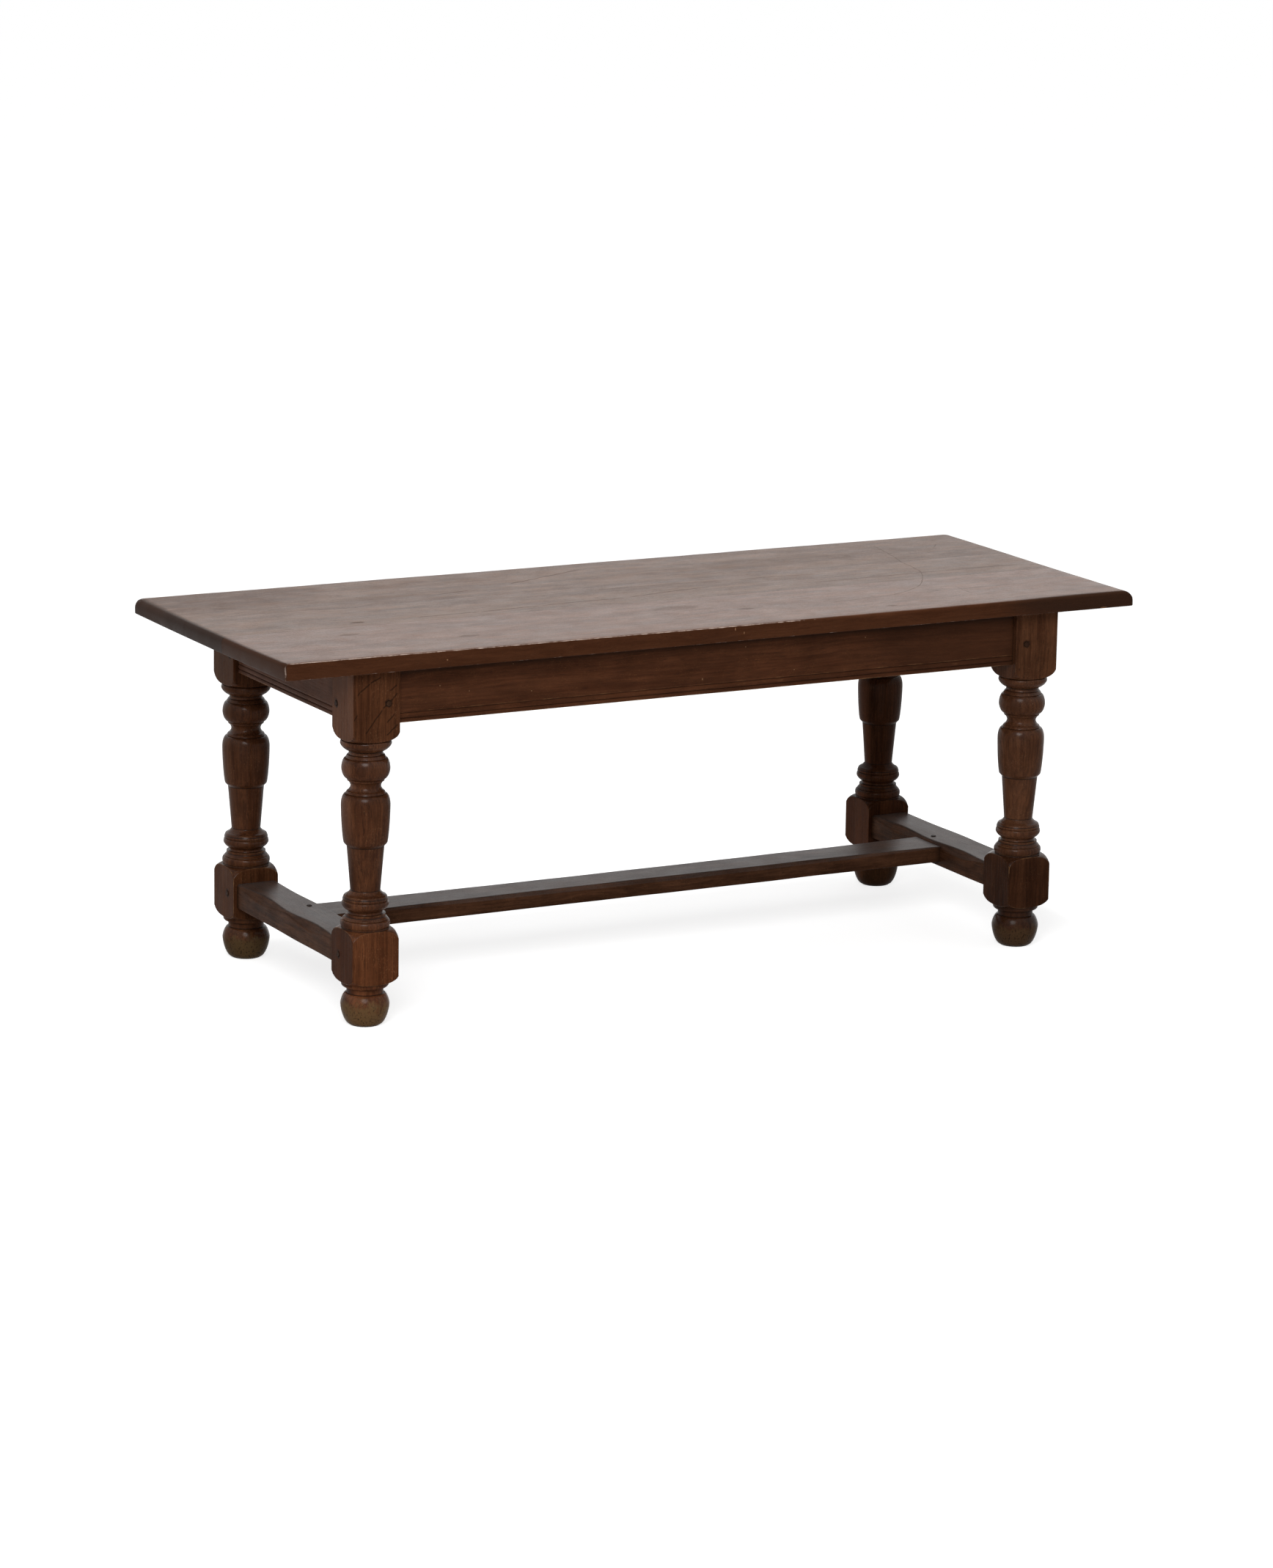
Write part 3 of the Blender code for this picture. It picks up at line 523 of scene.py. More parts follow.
def oakMaterial(name, look):
    look = {**commonLook, **look}
    material, tree, shader = newMaterial(name)
    place = addNode(tree, "ShaderNodeTexCoord").outputs["Object"]
    normal = addNode(tree, "ShaderNodeNewGeometry").outputs["Normal"]
    facing = axesOf(tree, normal)
    axes = axesOf(tree, vectorMaths(tree, "SUBTRACT", place, look["pith"]))
    along, across, up = (axes[k] for k in grainAxes[look["axis"]])
    along = maths(tree, "DIVIDE", along, look["grainLength"])
    grained = addNode(tree, "ShaderNodeCombineXYZ", {0: along, 1: across, 2: up}).outputs[0]
    values = {"Vector": grained, "Ring Size": look["ringSize"], "Wander": look["wander"]}
    grain = useGroup(tree, "oak grain", values)
    height = maths(tree, "MULTIPLY_ADD", grain["Pores"], -0.5, grain["Tone"])
    color = mixColor(tree, grain["Tone"], look["dark"], look["light"])
    for part, tint in (
        ("Rings", "dirt"), ("Flecks", "fleckColor"), ("Pores", "dirt"), ("Scuffs", "fleckColor"),
    ):
        color = mixColor(tree, times(tree, grain[part], look[part.lower()]), color, look[tint])
    if look["mottle"]:
        cloud = noiseAt(tree, vectorMaths(tree, "MULTIPLY", place, (15, 24, 24)), 1.0, 7.0, 0.7)
        color = scaled(tree, color, ramp(tree, cloud, 0.32, 0.68, 1 - look["mottle"], 1 + look["mottle"]))
    if look["judder"]:
        color = addJudder(tree, look, place, along, color)
    # end faces: plainer grain, with painted shade and painted sheen
    if look["endPaintedLight"]:
        ends = ramp(tree, maths(tree, "ABSOLUTE", facing[0]), *look["endFacing"])
        color = addPlainEndsAndPaintedLight(tree, look, place, ends, color)
        height = times(tree, height, maths(tree, "MULTIPLY_ADD", ends, -look["endPlain"], 1.0))
    if look["cracks"]:
        color = addCracks(tree, look, place, facing, color)
    if look["foot"]:
        color = addFoot(tree, look, place, color)
    if look["sideTint"]:
        color = addSides(tree, look, facing, color)
    marked = 0.0
    for kind, rows in (("scratch", look["marks"]), ("spot", look["spots"])):
        for strength, tint, values in rows:
            mask = times(tree, useGroup(tree, kind, {"Vector": place, **values})["Mask"], strength)
            color = mixColor(tree, mask, color, tint)
            marked = maths(tree, "MAXIMUM", mask, marked)
    worn = useGroup(tree, "edge wear", {
        "Vector": place, "Marked": attribute(tree, "worn"), "Amount": look["wornAmount"],
        "Patch Size": look["wornPatch"],
    })["Mask"]
    color = mixColor(tree, worn, color, look["wornColor"])
    # the dirt in grooves, and the painted shade under the top and where aprons and stretchers meet the legs
    color = mixColor(tree, times(tree, attribute(tree, "dirty"), 0.8), color, look["dirt"])
    if look["dust"]:
        dust = useGroup(tree, "dust", {"Vector": place, "Normal": normal, "Amount": look["dust"]})
        color = mixColor(tree, dust["Dust"], color, look["dustColor"])
        color = mixColor(tree, times(tree, dust["Grime"], look["grime"]), color, look["dirt"])
    cloud = grainNoise(tree, grained, 0.03, 0.09, 3.0)
    rough = maths(tree, "MULTIPLY_ADD", grain["Pores"], 0.15, ramp(tree, cloud, 0.3, 0.7, *look["roughness"]))
    bump = addNode(tree, "ShaderNodeBump", {"Strength": 0.6, "Distance": look["bump"], "Height": height})
    setInputs(tree, shader, {
        "Base Color": color, "Roughness": rough, "Normal": bump.outputs[0],
        "Specular IOR Level": look["specular"],
    })
    shine = None
    if look["turnedPolish"]:  # the turned parts shine, most above their swellings, and the blocks stay dull
        thin = ramp(tree, cloud, 0.25, 0.7, look["turnedPolish"], look["turnedPolish"] * 0.4)
        upper = ramp(tree, facing[2], -0.10, 0.50, 0.35, 1.6)
        shine = times(tree, times(tree, attribute(tree, "turned"), thin), upper)
    if look["polish"]:
        values = {"Vector": grained, "Normal": normal, "Amount": look["polish"]}
        dulled = maths(tree, "MULTIPLY_ADD", marked, -0.80, 1.0)  # by scratches and stains
        shine = times(tree, useGroup(tree, "wax", values)["Mask"], dulled)
    if shine:
        gloss, roughness = look["polishGloss"]
        setInputs(tree, shader, {"Coat Weight": shine, "Coat IOR": gloss, "Coat Roughness": roughness})
    return material


def pieceOak(name, base, look):
    return oakMaterial(name.replace("_", " ") + " oak", {**base, **look})


# Legs

blockRadius = 52.3  # in millimetres, a little past the corners of the square blocks
leg = {
    "sides": 96, "easing": 0.0005, "support": 0.0011, "unevenness": 0.00025, "arris": 0.00035,
    "cornerAngle": 24, "sharpAngle": 34, "wearFade": 0.45, "fadeHeights": (0.13, 0.24),
    "waveLength": 0.06, "flatArea": 0.0005,  # the least area of a planed side
    "edgeRings": ((0.0006, 0.75), (0.0014, 0.0)),  # inset and wear of the rings round a block's faces
    "holeRadius": 0.0044, "holeSides": 24, "holeDepth": 0.047, "holeOverrun": 0.004, "rimRadius": 0.0078,
    # height and radius in millimetres, steps, fullness of the curve (2 is round), and whether
    # the curve settles upright or sets off upright; one step is a straight line
    "profile": (
        (0.0, 22.0, 1, 2, True), (1.2, 23.4, 2, 2, False), (31.0, 35.3, 14, 1.6, True),
        (46.8, 28.3, 9, 1.5, False), (47.2, 26.4, 1, 2, True), (55.2, 26.6, 1, 2, True),
        (60.2, 34.2, 6, 2, True), (63.6, 34.2, 1, 2, True), (79.0, blockRadius, 14, 1.8, True),
        (123.0, blockRadius, 1, 2, True), (142.5, 34.2, 18, 1.9, False), (145.0, 34.2, 1, 2, True),
        (150.25, 35.6, 5, 2, True), (155.5, 31.7, 6, 2, False), (155.6, 31.0, 1, 2, True),
        (156.1, 32.8, 1, 2, True), (160.2, 29.2, 1, 2, True), (163.9, 29.2, 1, 2, True),
        (164.0, 26.1, 1, 2, True), (166.6, 24.7, 4, 2, True), (169.1, 26.1, 4, 2, False),
        (177.6, 33.8, 9, 1.5, True), (183.0, 31.2, 5, 2, False), (183.1, 30.6, 1, 2, True),
        (183.6, 32.6, 1, 2, True), (186.8, 31.9, 3, 2, False), (190.8, 29.3, 3, 1.6, False),
        (197.8, 21.6, 8, 1.3, True), (262.3, 26.9, 12, 2, None),
        (266.8, 31.0, 4, 2, None), (321.8, 35.3, 16, 1.5, True), (338.4, 28.9, 12, 2, False),
        (338.7, 28.0, 1, 2, True), (339.3, 28.7, 1, 2, True), (342.4, 26.9, 1, 2, True),
        (349.9, 21.8, 7, 1.5, True), (357.2, 26.4, 7, 1.5, False), (359.8, 27.3, 1, 2, True),
        (360.2, 26.8, 1, 2, True), (375.4, 34.9, 14, 1.8, True), (390.0, 29.6, 14, 1.8, False),
        (390.3, 28.9, 1, 2, True), (390.9, 29.2, 1, 2, True), (395.0, 26.7, 1, 2, True),
        (399.3, 24.4, 4, 2, True), (401.0, 25.2, 2, 2, False), (411.7, 36.8, 12, 1.5, True),
        (416.6, 34.8, 5, 2, False), (417.1, 33.9, 1, 2, True), (417.6, 34.4, 1, 2, True),
        (437.5, blockRadius, 16, 1.9, True),
    ),
}


def turnedProfile(top):
    rows = (*leg["profile"], (top * 1000, blockRadius, 1, 2, True))
    points = [(rows[0][1], rows[0][0])]
    for height, radius, count, fullness, settles in rows[1:]:
        r, z = points[-1]
        for k in range(1, count + 1):
            turn = math.pi / 2 * k / count
            rising = math.sin(turn) ** (2 / fullness)
            falling = 1 - abs(math.cos(turn)) ** (2 / fullness)
            if settles is None or count == 1:
                rising = falling = k / count
            out, climb = (rising, falling) if settles else (falling, rising)
            points.append((r + (radius - r) * out, z + (height - z) * climb))
    return [(r / 1000, z / 1000) for r, z in points]


def easedProfile(points, easing, support, cornerAngle):
    # Rounds only the crisp corners: those that stand out are worn, those that go in are dirty.
    eased = [(*points[0], 0, 0)]
    for before, here, after in zip(points, points[1:], points[2:]):
        here = Vector(here)
        back, ahead = Vector(before) - here, Vector(after) - here
        turn = (-back).angle_signed(ahead, 0)
        if abs(turn) < math.radians(cornerAngle):
            eased.append((*here, 0, 0))
            continue
        marks = (1, 0) if turn < 0 else (0, 1)
        room = [side.length * 0.45 for side in (back, ahead)]
        if support < room[0]:
            eased.append((*(here + back.normalized() * support), 0, 0))
        start = here + back.normalized() * min(easing, room[0])
        end = here + ahead.normalized() * min(easing, room[1])
        for share in (0, 0.5, 1):
            spot = start * (1 - share) ** 2 + here * 2 * share * (1 - share) + end * share ** 2
            eased.append((*spot, *marks))
        if support < room[1]:
            eased.append((*(here + ahead.normalized() * support), 0, 0))
    return eased + [(*points[-1], 0, 0)]


def squareBlocks(bm, half, worn):
    # Planes the four sides flat where the turning runs past the square, and eases their edges.
    for x, y in ((1, 0), (-1, 0), (0, 1), (0, -1)):
        out = Vector((x, y, 0))
        cut = bisect(bm, out * half, out, 2 * weldDistance, clear_outer=True)
        rim = [part for part in cut["geom_cut"] if isinstance(part, bmesh.types.BMEdge)]
        bmesh.ops.edgeloop_fill(bm, edges=[edge for edge in rim if edge.is_boundary])
    bmesh.ops.recalc_face_normals(bm, faces=bm.faces)
    flats = [
        face for face in bm.faces
        if face.calc_area() > leg["flatArea"] and max(abs(face.normal.x), abs(face.normal.y)) > 0.9999
    ]
    turned = bm.verts.layers.float.new("turned")
    for vert in bm.verts:
        vert[turned] = 1
    edge = {}
    for face in flats:
        for vert in face.verts:
            edge[vert] = edge.get(vert, Vector()) + face.normal
    for inset, mark in leg["edgeRings"]:
        bmesh.ops.inset_individual(bm, faces=flats, thickness=0)
        for face in flats:
            corners = [vert.co for vert in face.verts]
            low = Vector([min(co[k] for co in corners) for k in range(3)])
            high = Vector([max(co[k] for co in corners) for k in range(3)])
            centre, reach = (low + high) / 2, (high - low) / 2
            for vert in face.verts:
                for k in range(3):
                    if reach[k] > inset:
                        vert.co[k] = centre[k] + (vert.co[k] - centre[k]) * (1 - inset / reach[k])
                vert[worn], vert[turned] = mark, 0
    for vert, out in edge.items():
        vert.co -= out * leg["arris"]
        vert[worn] = 1


def cutWith(piece, bm):  # takes the bmesh out of the piece
    cutter = newObject(piece.name + " cutter", bm)
    modifier = piece.modifiers.new("cut", "BOOLEAN")
    modifier.operation, modifier.solver, modifier.object = "DIFFERENCE", "EXACT", cutter
    whole = bpy.data.meshes.new_from_object(piece.evaluated_get(bpy.context.evaluated_depsgraph_get()))
    piece.modifiers.clear()
    piece.data = whole
    bpy.data.objects.remove(cutter)


def drill(piece, holes):
    # Cuts the peg holes; each is a head and a direction inwards.
    bm = bmesh.new()
    for head, inwards in holes:
        start, end = head - inwards * leg["holeOverrun"], head + inwards * leg["holeDepth"]
        turn = (end - start).to_track_quat("Z", "Y").to_matrix().to_4x4()
        bmesh.ops.create_cone(
            bm, cap_ends=True, segments=leg["holeSides"], radius1=leg["holeRadius"],
            radius2=leg["holeRadius"], depth=(end - start).length,
            matrix=Matrix.Translation((start + end) / 2) @ turn,
        )
    cutWith(piece, bm)


def pegFace(node, side):
    # Middle of a peg's head, which is the end of its box on the side that it points to.
    low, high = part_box(node)
    head = (low + high) / 2
    axis = max(range(3), key=lambda k: abs(side[k]))
    head[axis] = (high if side[axis] > 0 else low)[axis]
    return head


def makeLeg(name, look, pegs):
    low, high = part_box(name)
    middle, half = (low + high) / 2, (high.x - low.x) / 2
    bm = bmesh.new()
    worn, dirty = markLayers(bm)
    profile = turnedProfile(high.z)
    profile = easedProfile(profile, leg["easing"], leg["support"], leg["cornerAngle"])
    profile = [(0, profile[0][1], 0, 0)] + profile + [(0, profile[-1][1], 0, 0)]
    spinProfile(bm, profile, leg["sides"], (worn, dirty))
    waver(bm, leg["unevenness"], leg["waveLength"], look["seed"])
    for vert in bm.verts:
        vert.co.z = min(max(vert.co.z, low.z), high.z)
    squareBlocks(bm, half, worn)
    for vert in bm.verts:  # feet and knees wear a table's legs from below
        vert[worn] *= 1 - leg["wearFade"] * smoothStep(*leg["fadeHeights"], vert.co.z)
    bmesh.ops.translate(bm, verts=bm.verts, vec=(middle.x, middle.y, 0))
    heads = [(pegFace(node, side), Vector(side)) for node, side in pegs]
    rims = [  # dirt soaked in round the pegs
        (0.85, legLook["rim"], {"Centre": head, "Size": (leg["rimRadius"],) * 3}) for head, _ in heads
    ]
    material = pieceOak(name, legLook, {**look, "spots": rims})
    piece = finishPiece(name, "turned", bm, material, leg["sharpAngle"])
    drill(piece, [(head, -side) for head, side in heads])


legLook = {
    "axis": "Z", "dark": (0.044, 0.0155, 0.0070), "light": (0.090, 0.0345, 0.0155), "ringSize": 0.0042,
    "wander": 0.016, "rings": 0.22, "pores": 0.62, "mottle": 0.16, "scuffs": 0.42, "bump": 0.0005,
    "fleckColor": (0.19, 0.100, 0.052), "rim": (0.016, 0.0085, 0.0055), "roughness": (0.30, 0.42),
    "specular": 0.012, "turnedPolish": 0.50, "polishGloss": (1.27, 0.19), "foot": 0.9, "endPlain": 0.45,
    "wornColor": (0.21, 0.108, 0.048), "wornAmount": 0.72, "wornPatch": 0.016,
}
legs = {
    "leg_front_left": {
        "seed": 1.3, "pith": (-0.60, -0.30, 0), "lowToneAndPaintedLight": (1.55, 1.45, 1.35), "tint": (1.08, 1.04, 1.0),
        # its lower block's ends painted darker (painted shade), its upper block's ends lighter and bluer
        # (painted sheen)
        "endPaintedLight": ((0.50, 0.46, 0.42), (1.65, 1.90, 2.30)),
        "cracks": (
            ((-0.5401, 0.5123), (-0.5571, 0.5048)), ((-0.5571, 0.5048), (-0.5774, 0.4882)),
            ((-0.5155, 0.4992), (-0.5263, 0.4912)), ((-0.5137, 0.4875), (-0.5375, 0.4658)),
            ((-0.5375, 0.4658), (-0.5646, 0.4312)), ((-0.5767, 0.4608), (-0.5846, 0.4478)),
            ((-0.5192, 0.4579), (-0.5306, 0.4451)), ((-0.5134, 0.4426), (-0.5316, 0.4273)),
        ),
    },
    "leg_front_right": {
        # its lower part painted darker: partly a painted shade
        "seed": 4.1, "pith": (0.65, -0.11, 0.3), "lowToneAndPaintedLight": (0.50, 0.46, 0.44), "tint": (1.10, 1.14, 1.18),
        "rings": 0.2, "pores": 0.45, "scuffs": 0.22, "grainLength": 0.45, "foot": 0.86,
        "footColor": (0.115, 0.064, 0.030),
    },
    "leg_rear_left": {
        "seed": 7.7, "pith": (-0.62, 0.13, 0.6), "lowToneAndPaintedLight": (1.05, 1.05, 1.0), "tint": (1.0, 0.95, 0.9),
        # its upper block's ends painted lighter and bluer: a painted sheen
        "endPaintedLight": ((1, 1, 1), (1.25, 1.45, 1.65)),
    },
    "leg_rear_right": {
        # darker all over, partly a painted shade, with its block ends painted lighter again: painted light
        "seed": 9.2, "pith": (0.60, 0.13, 0.9), "tint": (0.56, 0.51, 0.48), "endPaintedLight": ((2.1,) * 3,) * 2,
        "scuffs": 0.3, "foot": 0.3, "turnedPolish": 0.18, "wornAmount": 0.5,
    },
}
for name, look in legs.items():
    _, depth, hand = name.split("_")
    sideX, sideY = (-1 if hand == "left" else 1), (-1 if depth == "front" else 1)
    makeLeg(name, look, (
        ("peg_long_%s_%s" % (depth, hand), (0, sideY, 0)),
        ("peg_end_%s_%s" % (depth, hand), (sideX, 0, 0)),
        ("peg_lower_%s_%s" % (depth, hand), (sideX, 0, 0)),
    ))
print("legs turned")


# Aprons, with a scratched bead along the lower edge

apron = {
    "station": 0.012, "bead": 0.0062, "quirk": 0.0013, "flat": 0.0056, "easing": 0.0008,
    "support": 0.003, "endMargin": 0.009, "underTopShadeDepths": (0.013, 0.0085), "unevenness": 0.00035,
    "beadSteps": 8, "endDirtAndShade": 0.8, "waveLength": 0.11, "sharpAngle": 50,
}


def apronSection(half, low, high):
    # Outline of an apron; a point is (across, up, worn, dirt and shade), and its face is at -half.
    quirk, bead, easing, support = (apron[key] for key in ("quirk", "bead", "easing", "support"))
    face, start = -half, low + apron["flat"]
    upper = start + 2 * quirk + bead
    middle = (low + high) / 2
    # a painted shadow under the top's overhang: the apron darkens towards its top edge
    unshaded, shaded = (high - depth for depth in apron["underTopShadeDepths"])
    rounded = []
    for k in range(apron["beadSteps"] + 1):
        turn = math.pi * k / apron["beadSteps"]
        out = face + quirk * 0.55 * (1 - math.sin(turn))
        rounded.append((out, start + quirk + bead * (1 - math.cos(turn)) / 2, 0.55 * math.sin(turn), 0))
    return [
        (half - easing, low, 0.2, 0), (face + 0.004, low, 0, 0), (face + 0.0012, low + 0.0001, 0.8, 0),
        (face + 0.0004, low + 0.0005, 1, 0), (face, low + 0.0014, 0.8, 0), (face, low + support, 0, 0),
        (face, start - 0.0006, 0.2, 0), (face + 0.0003, start, 0.4, 0.4),
        (face + quirk, start + quirk / 2, 0, 1), *rounded, (face + quirk, upper - quirk / 2, 0, 1),
        (face + 0.0003, upper, 0.6, 0.2), (face, upper + 0.0008, 0.8, 0), (face, upper + support, 0, 0),
        (face, (upper + high) / 2, 0, 0), (face, unshaded, 0, 0), (face, shaded, 0, 0.85), (face, high, 0, 0.9),
        (half - easing, high, 0, 0.7), (half, high - easing, 0, 0), (half, middle, 0, 0),
        (half, low + easing, 0.2, 0),
    ]


def makeApron(name, look):
    low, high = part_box(name)
    middle = (low + high) / 2
    side = name.split("_")[1]
    nearLeg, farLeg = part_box("leg_front_left")[1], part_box("leg_rear_right")[0]
    if side in ("front", "rear"):
        half, reach = (high.y - low.y) / 2, (farLeg.x - nearLeg.x) / 2 - seatGap
    else:
        half, reach = (high.x - low.x) / 2, (farLeg.y - nearLeg.y) / 2 - seatGap
    margin, support = apron["endMargin"], apron["support"]
    inner = steps(margin - reach, reach - margin, apron["station"])
    section = apronSection(half, low.z, high.z)
    # the apron darkens into its ends at the legs: partly dirt, partly painted shade
    ends = {-reach: apron["endDirtAndShade"], reach: apron["endDirtAndShade"]}
    bm = bmesh.new()
    sweep(bm, [
        [(x, y, z, worn, max(dirty, ends.get(x, 0))) for y, z, worn, dirty in section]
        for x in (-reach, support - reach, *inner, reach - support, reach)
    ])
    waver(bm, apron["unevenness"], apron["waveLength"], look["seed"])
    for vert in bm.verts:  # the wavering stops where it meets the legs and the top
        vert.co.z = min(vert.co.z, high.z)
        vert.co.x = min(max(vert.co.x, -reach), reach)
    turn = {"front": 0, "rear": math.pi, "left": -math.pi / 2, "right": math.pi / 2}[side]
    standAt(bm, turn, middle.x, middle.y)
    finishPiece(name, "beaded", bm, pieceOak(name, apronLook, look), apron["sharpAngle"])


apronLook = {
    "dark": (0.048, 0.0160, 0.0072), "light": (0.084, 0.0300, 0.0135), "ringSize": 0.0055, "wander": 0.014,
    "rings": 0.18, "pores": 0.4, "grainLength": 0.7, "mottle": 0.16, "flecks": 0.16, "scuffs": 0.40,
    "fleckColor": (0.17, 0.075, 0.03), "dirt": (0.018, 0.0085, 0.0050), "roughness": (0.26, 0.38),
    "specular": 0.02, "wornColor": (0.20, 0.095, 0.042), "wornAmount": 0.85, "wornPatch": 0.03,
}
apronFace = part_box("apron_front")[0].y
chips = (  # pale chips in the front apron: X, Z, width and height
    (0.0504, 0.5063, 0.0012, 0.0012), (-0.0205, 0.4642, 0.0013, 0.0020), (0.1326, 0.4657, 0.0014, 0.0009),
    (0.2522, 0.5044, 0.0014, 0.0008), (-0.4443, 0.4902, 0.0010, 0.0012), (-0.2987, 0.4704, 0.0012, 0.0009),
    (-0.398, 0.4788, 0.0009, 0.0009), (-0.3285, 0.5124, 0.0009, 0.0011),
)
# the right part of the front apron is painted darker: a painted shade
shadedStretch = {"Centre": (0.44, apronFace, 0.49), "Size": (0.24, 0.05, 0.09)}
apronSpots = [(0.55, (0.034, 0.0125, 0.0060), shadedStretch)]
for x, z, width, height in chips:
    values = {"Centre": (x, apronFace, z), "Size": (width, 0.01, height)}
    apronSpots.append((0.6, (0.28, 0.155, 0.085), values))
aprons = {
    "apron_front": {"seed": 2.1, "pith": (0, -0.31, 0.47), "spots": apronSpots},
    "apron_rear": {"seed": 5.5, "pith": (0, 0.33, 0.44)},
    "apron_left": {
        # lighter and greyer than the other aprons, with less specular: a painted sheen
        "seed": 3.4, "axis": "Y", "pith": (-0.64, 0, 0.45), "dark": (0.096, 0.0430, 0.0270),
        "light": (0.122, 0.0570, 0.0370), "rings": 0.08, "scuffs": 0.10, "pores": 0.2, "specular": 0.01,
        "dirt": (0.036, 0.0170, 0.0110),
    },
    "apron_right": {"seed": 8.8, "axis": "Y", "pith": (0.65, 0, 0.48)},
}
for name, look in aprons.items():
    makeApron(name, look)
print("aprons beaded")


# Stretchers, with scalloped chamfers on their upper corners

bar = {"waveLength": 0.09, "sharpAngle": 50, "endDirtAndShade": 0.85, "dirtAndShadeReach": 0.012, "support": 2.2}
endBar = {
    "station": 0.006, "least": 0.0012, "wideLeast": 0.0035, "inset": 0.009, "drop": 0.011,
    "slight": 0.003, "easing": 0.0014, "unevenness": 0.0005,
}
longBar = {
    "station": 0.010, "least": 0.0012, "inset": 0.008, "drop": 0.006, "easing": 0.0010,
    "unevenness": 0.0005,
}


def barSection(half, low, high, near, far, easing):
    # Outline across a bar; near and far are the (inset, drop) of its two upper corners.
    corners = [
        (-half, low, 0.6, 0), (half, low, 0.6, 0), (half, high - near[1], 0.55, 0),
        (half - near[0], high, 0.9, 0), (-half + far[0], high, 0.9, 0), (-half, high - far[1], 0.55, 0),
    ]
    return easedOutline(corners, easing, easing * bar["support"])


def makeBar(name, half, reach, chamferAt, size, look, turn):
    low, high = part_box(name)
    middle = (low + high) / 2
    bm = bmesh.new()
    rings = []
    for x in steps(-reach, reach, size["station"]):
        near, far = chamferAt((x / reach + 1) / 2)
        # the bar darkens towards the legs: partly dirt, partly painted shade
        dirt = bar["endDirtAndShade"] * smoothStep(bar["dirtAndShadeReach"], 0.0, reach - abs(x))
        rings.append([
            (x, y, z, worn * (1 - dirt), max(dirty, dirt))
            for y, z, worn, dirty in barSection(half, low.z, high.z, near, far, size["easing"])
        ])
    sweep(bm, rings)
    waver(bm, size["unevenness"], bar["waveLength"], look["seed"])
    for vert in bm.verts:
        vert.co.x = min(max(vert.co.x, -reach), reach)
    standAt(bm, turn, middle.x, middle.y)
    finishPiece(name, "chamfered", bm, pieceOak(name, barLook, look), bar["sharpAngle"])


def endChamfers(share):
    wide = math.sin(2 * math.pi * share) ** 2
    least, full = endBar["wideLeast"], (endBar["inset"], endBar["drop"])
    near = [least + (side - least) * wide for side in full]
    far = [endBar["least"] + (endBar["slight"] - endBar["least"]) * wide] * 2
    return near, far


def longChamfers(share):
    wide = math.sqrt(max(math.sin(math.pi * share), 0))
    least, full = longBar["least"], (longBar["inset"], longBar["drop"])
    side = [least + (size - least) * wide for size in full]
    return side, side


barLook = {
    "dark": (0.032, 0.0125, 0.0060), "light": (0.078, 0.0330, 0.0165), "ringSize": 0.005, "wander": 0.016,
    "rings": 0.14, "pores": 0.4, "grainLength": 0.5, "mottle": 0.22, "scuffs": 0.3, "specular": 0.015,
    "dust": 0.5, "dustColor": (0.125, 0.105, 0.098), "roughness": (0.30, 0.42), "polish": 0.76,
    "wornColor": (0.020, 0.0120, 0.0095), "wornAmount": 0.85,
}
bars = {
    "stretcher_left": {"seed": 1.9, "axis": "Y", "pith": (-0.60, 0, 0.02)},
    "stretcher_right": {"seed": 6.3, "axis": "Y", "pith": (0.60, 0, 0.0)},
    "stretcher_long": {"seed": 4.6, "pith": (0, 0.06, 0.03), "dust": 0.40},
}
for name, look in bars.items():
    low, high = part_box(name)
    if name == "stretcher_long":
        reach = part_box("stretcher_right")[0].x - seatGap
        makeBar(name, (high.y - low.y) / 2, reach, longChamfers, longBar, look, 0)
    else:
        reach = abs(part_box("leg_front_left")[1].y) - seatGap
        makeBar(name, (high.x - low.x) / 2, reach, endChamfers, endBar, look, math.pi / 2)
print("stretchers chamfered")


# Top: three glued boards, crisp along the front and well rounded at the ends and the rear

top = {  # pairs are of the left and the right end, where no other note says what they are
    "inset": (0.014, 0.0185), "drop": (0.017, 0.0200), "backInset": 0.014, "backDrop": 0.017,
    "frontInset": (0.0022, 0.0055), "frontDrop": (0.0032, 0.0065),
    "frontChange": (0.06, 0.22),  # stretch of X where the front edge turns from its left to its right form
    "cornerRadius": {"front": (0.003, 0.003), "rear": (0.005, 0.018)}, "cornerSteps": 8,
    "rearShare": 0.72, "squareShare": 0.42, "squareReach": 0.09,
    "lowerEdge": ((0.0022, 0, 0.2), (0.0008, 0.0004, 0.62), (0, 0.0018, 0.3)),  # inset, height and wear
    "edgeSteps": 9, "outline": 0.02, "gridX": 0.020, "gridY": 0.016, "sharpAngle": 32,
    "marginX": 0.015, "marginY": 0.002,  # from a board's edges to the first lines of the grid
    "ripples": ((0.16, 0.0005), (0.03, 0.00018)), "sideRipple": (0.12, 0.0005),  # size and height
    "bow": 0.0040, "underBow": 0.0022, "bowCut": 0.001, "bowShare": 0.86,
    "sag": (0.0019, 0.0016), "sink": 0.0014, "dip": 0.0012,
    "chipDepth": 0.0018, "chipReach": 0.008, "chipGrit": 0.004, "chipWorn": (0.005, 0.001),
}


def edgeCurve(step):
    # The quarter turn of a rounded edge: how far in, how far down, and how strong its middle.
    turn = math.pi / 2 * step / top["edgeSteps"]
    return 1 - math.cos(turn), 1 - math.sin(turn), max(math.sin(2 * turn), 0)


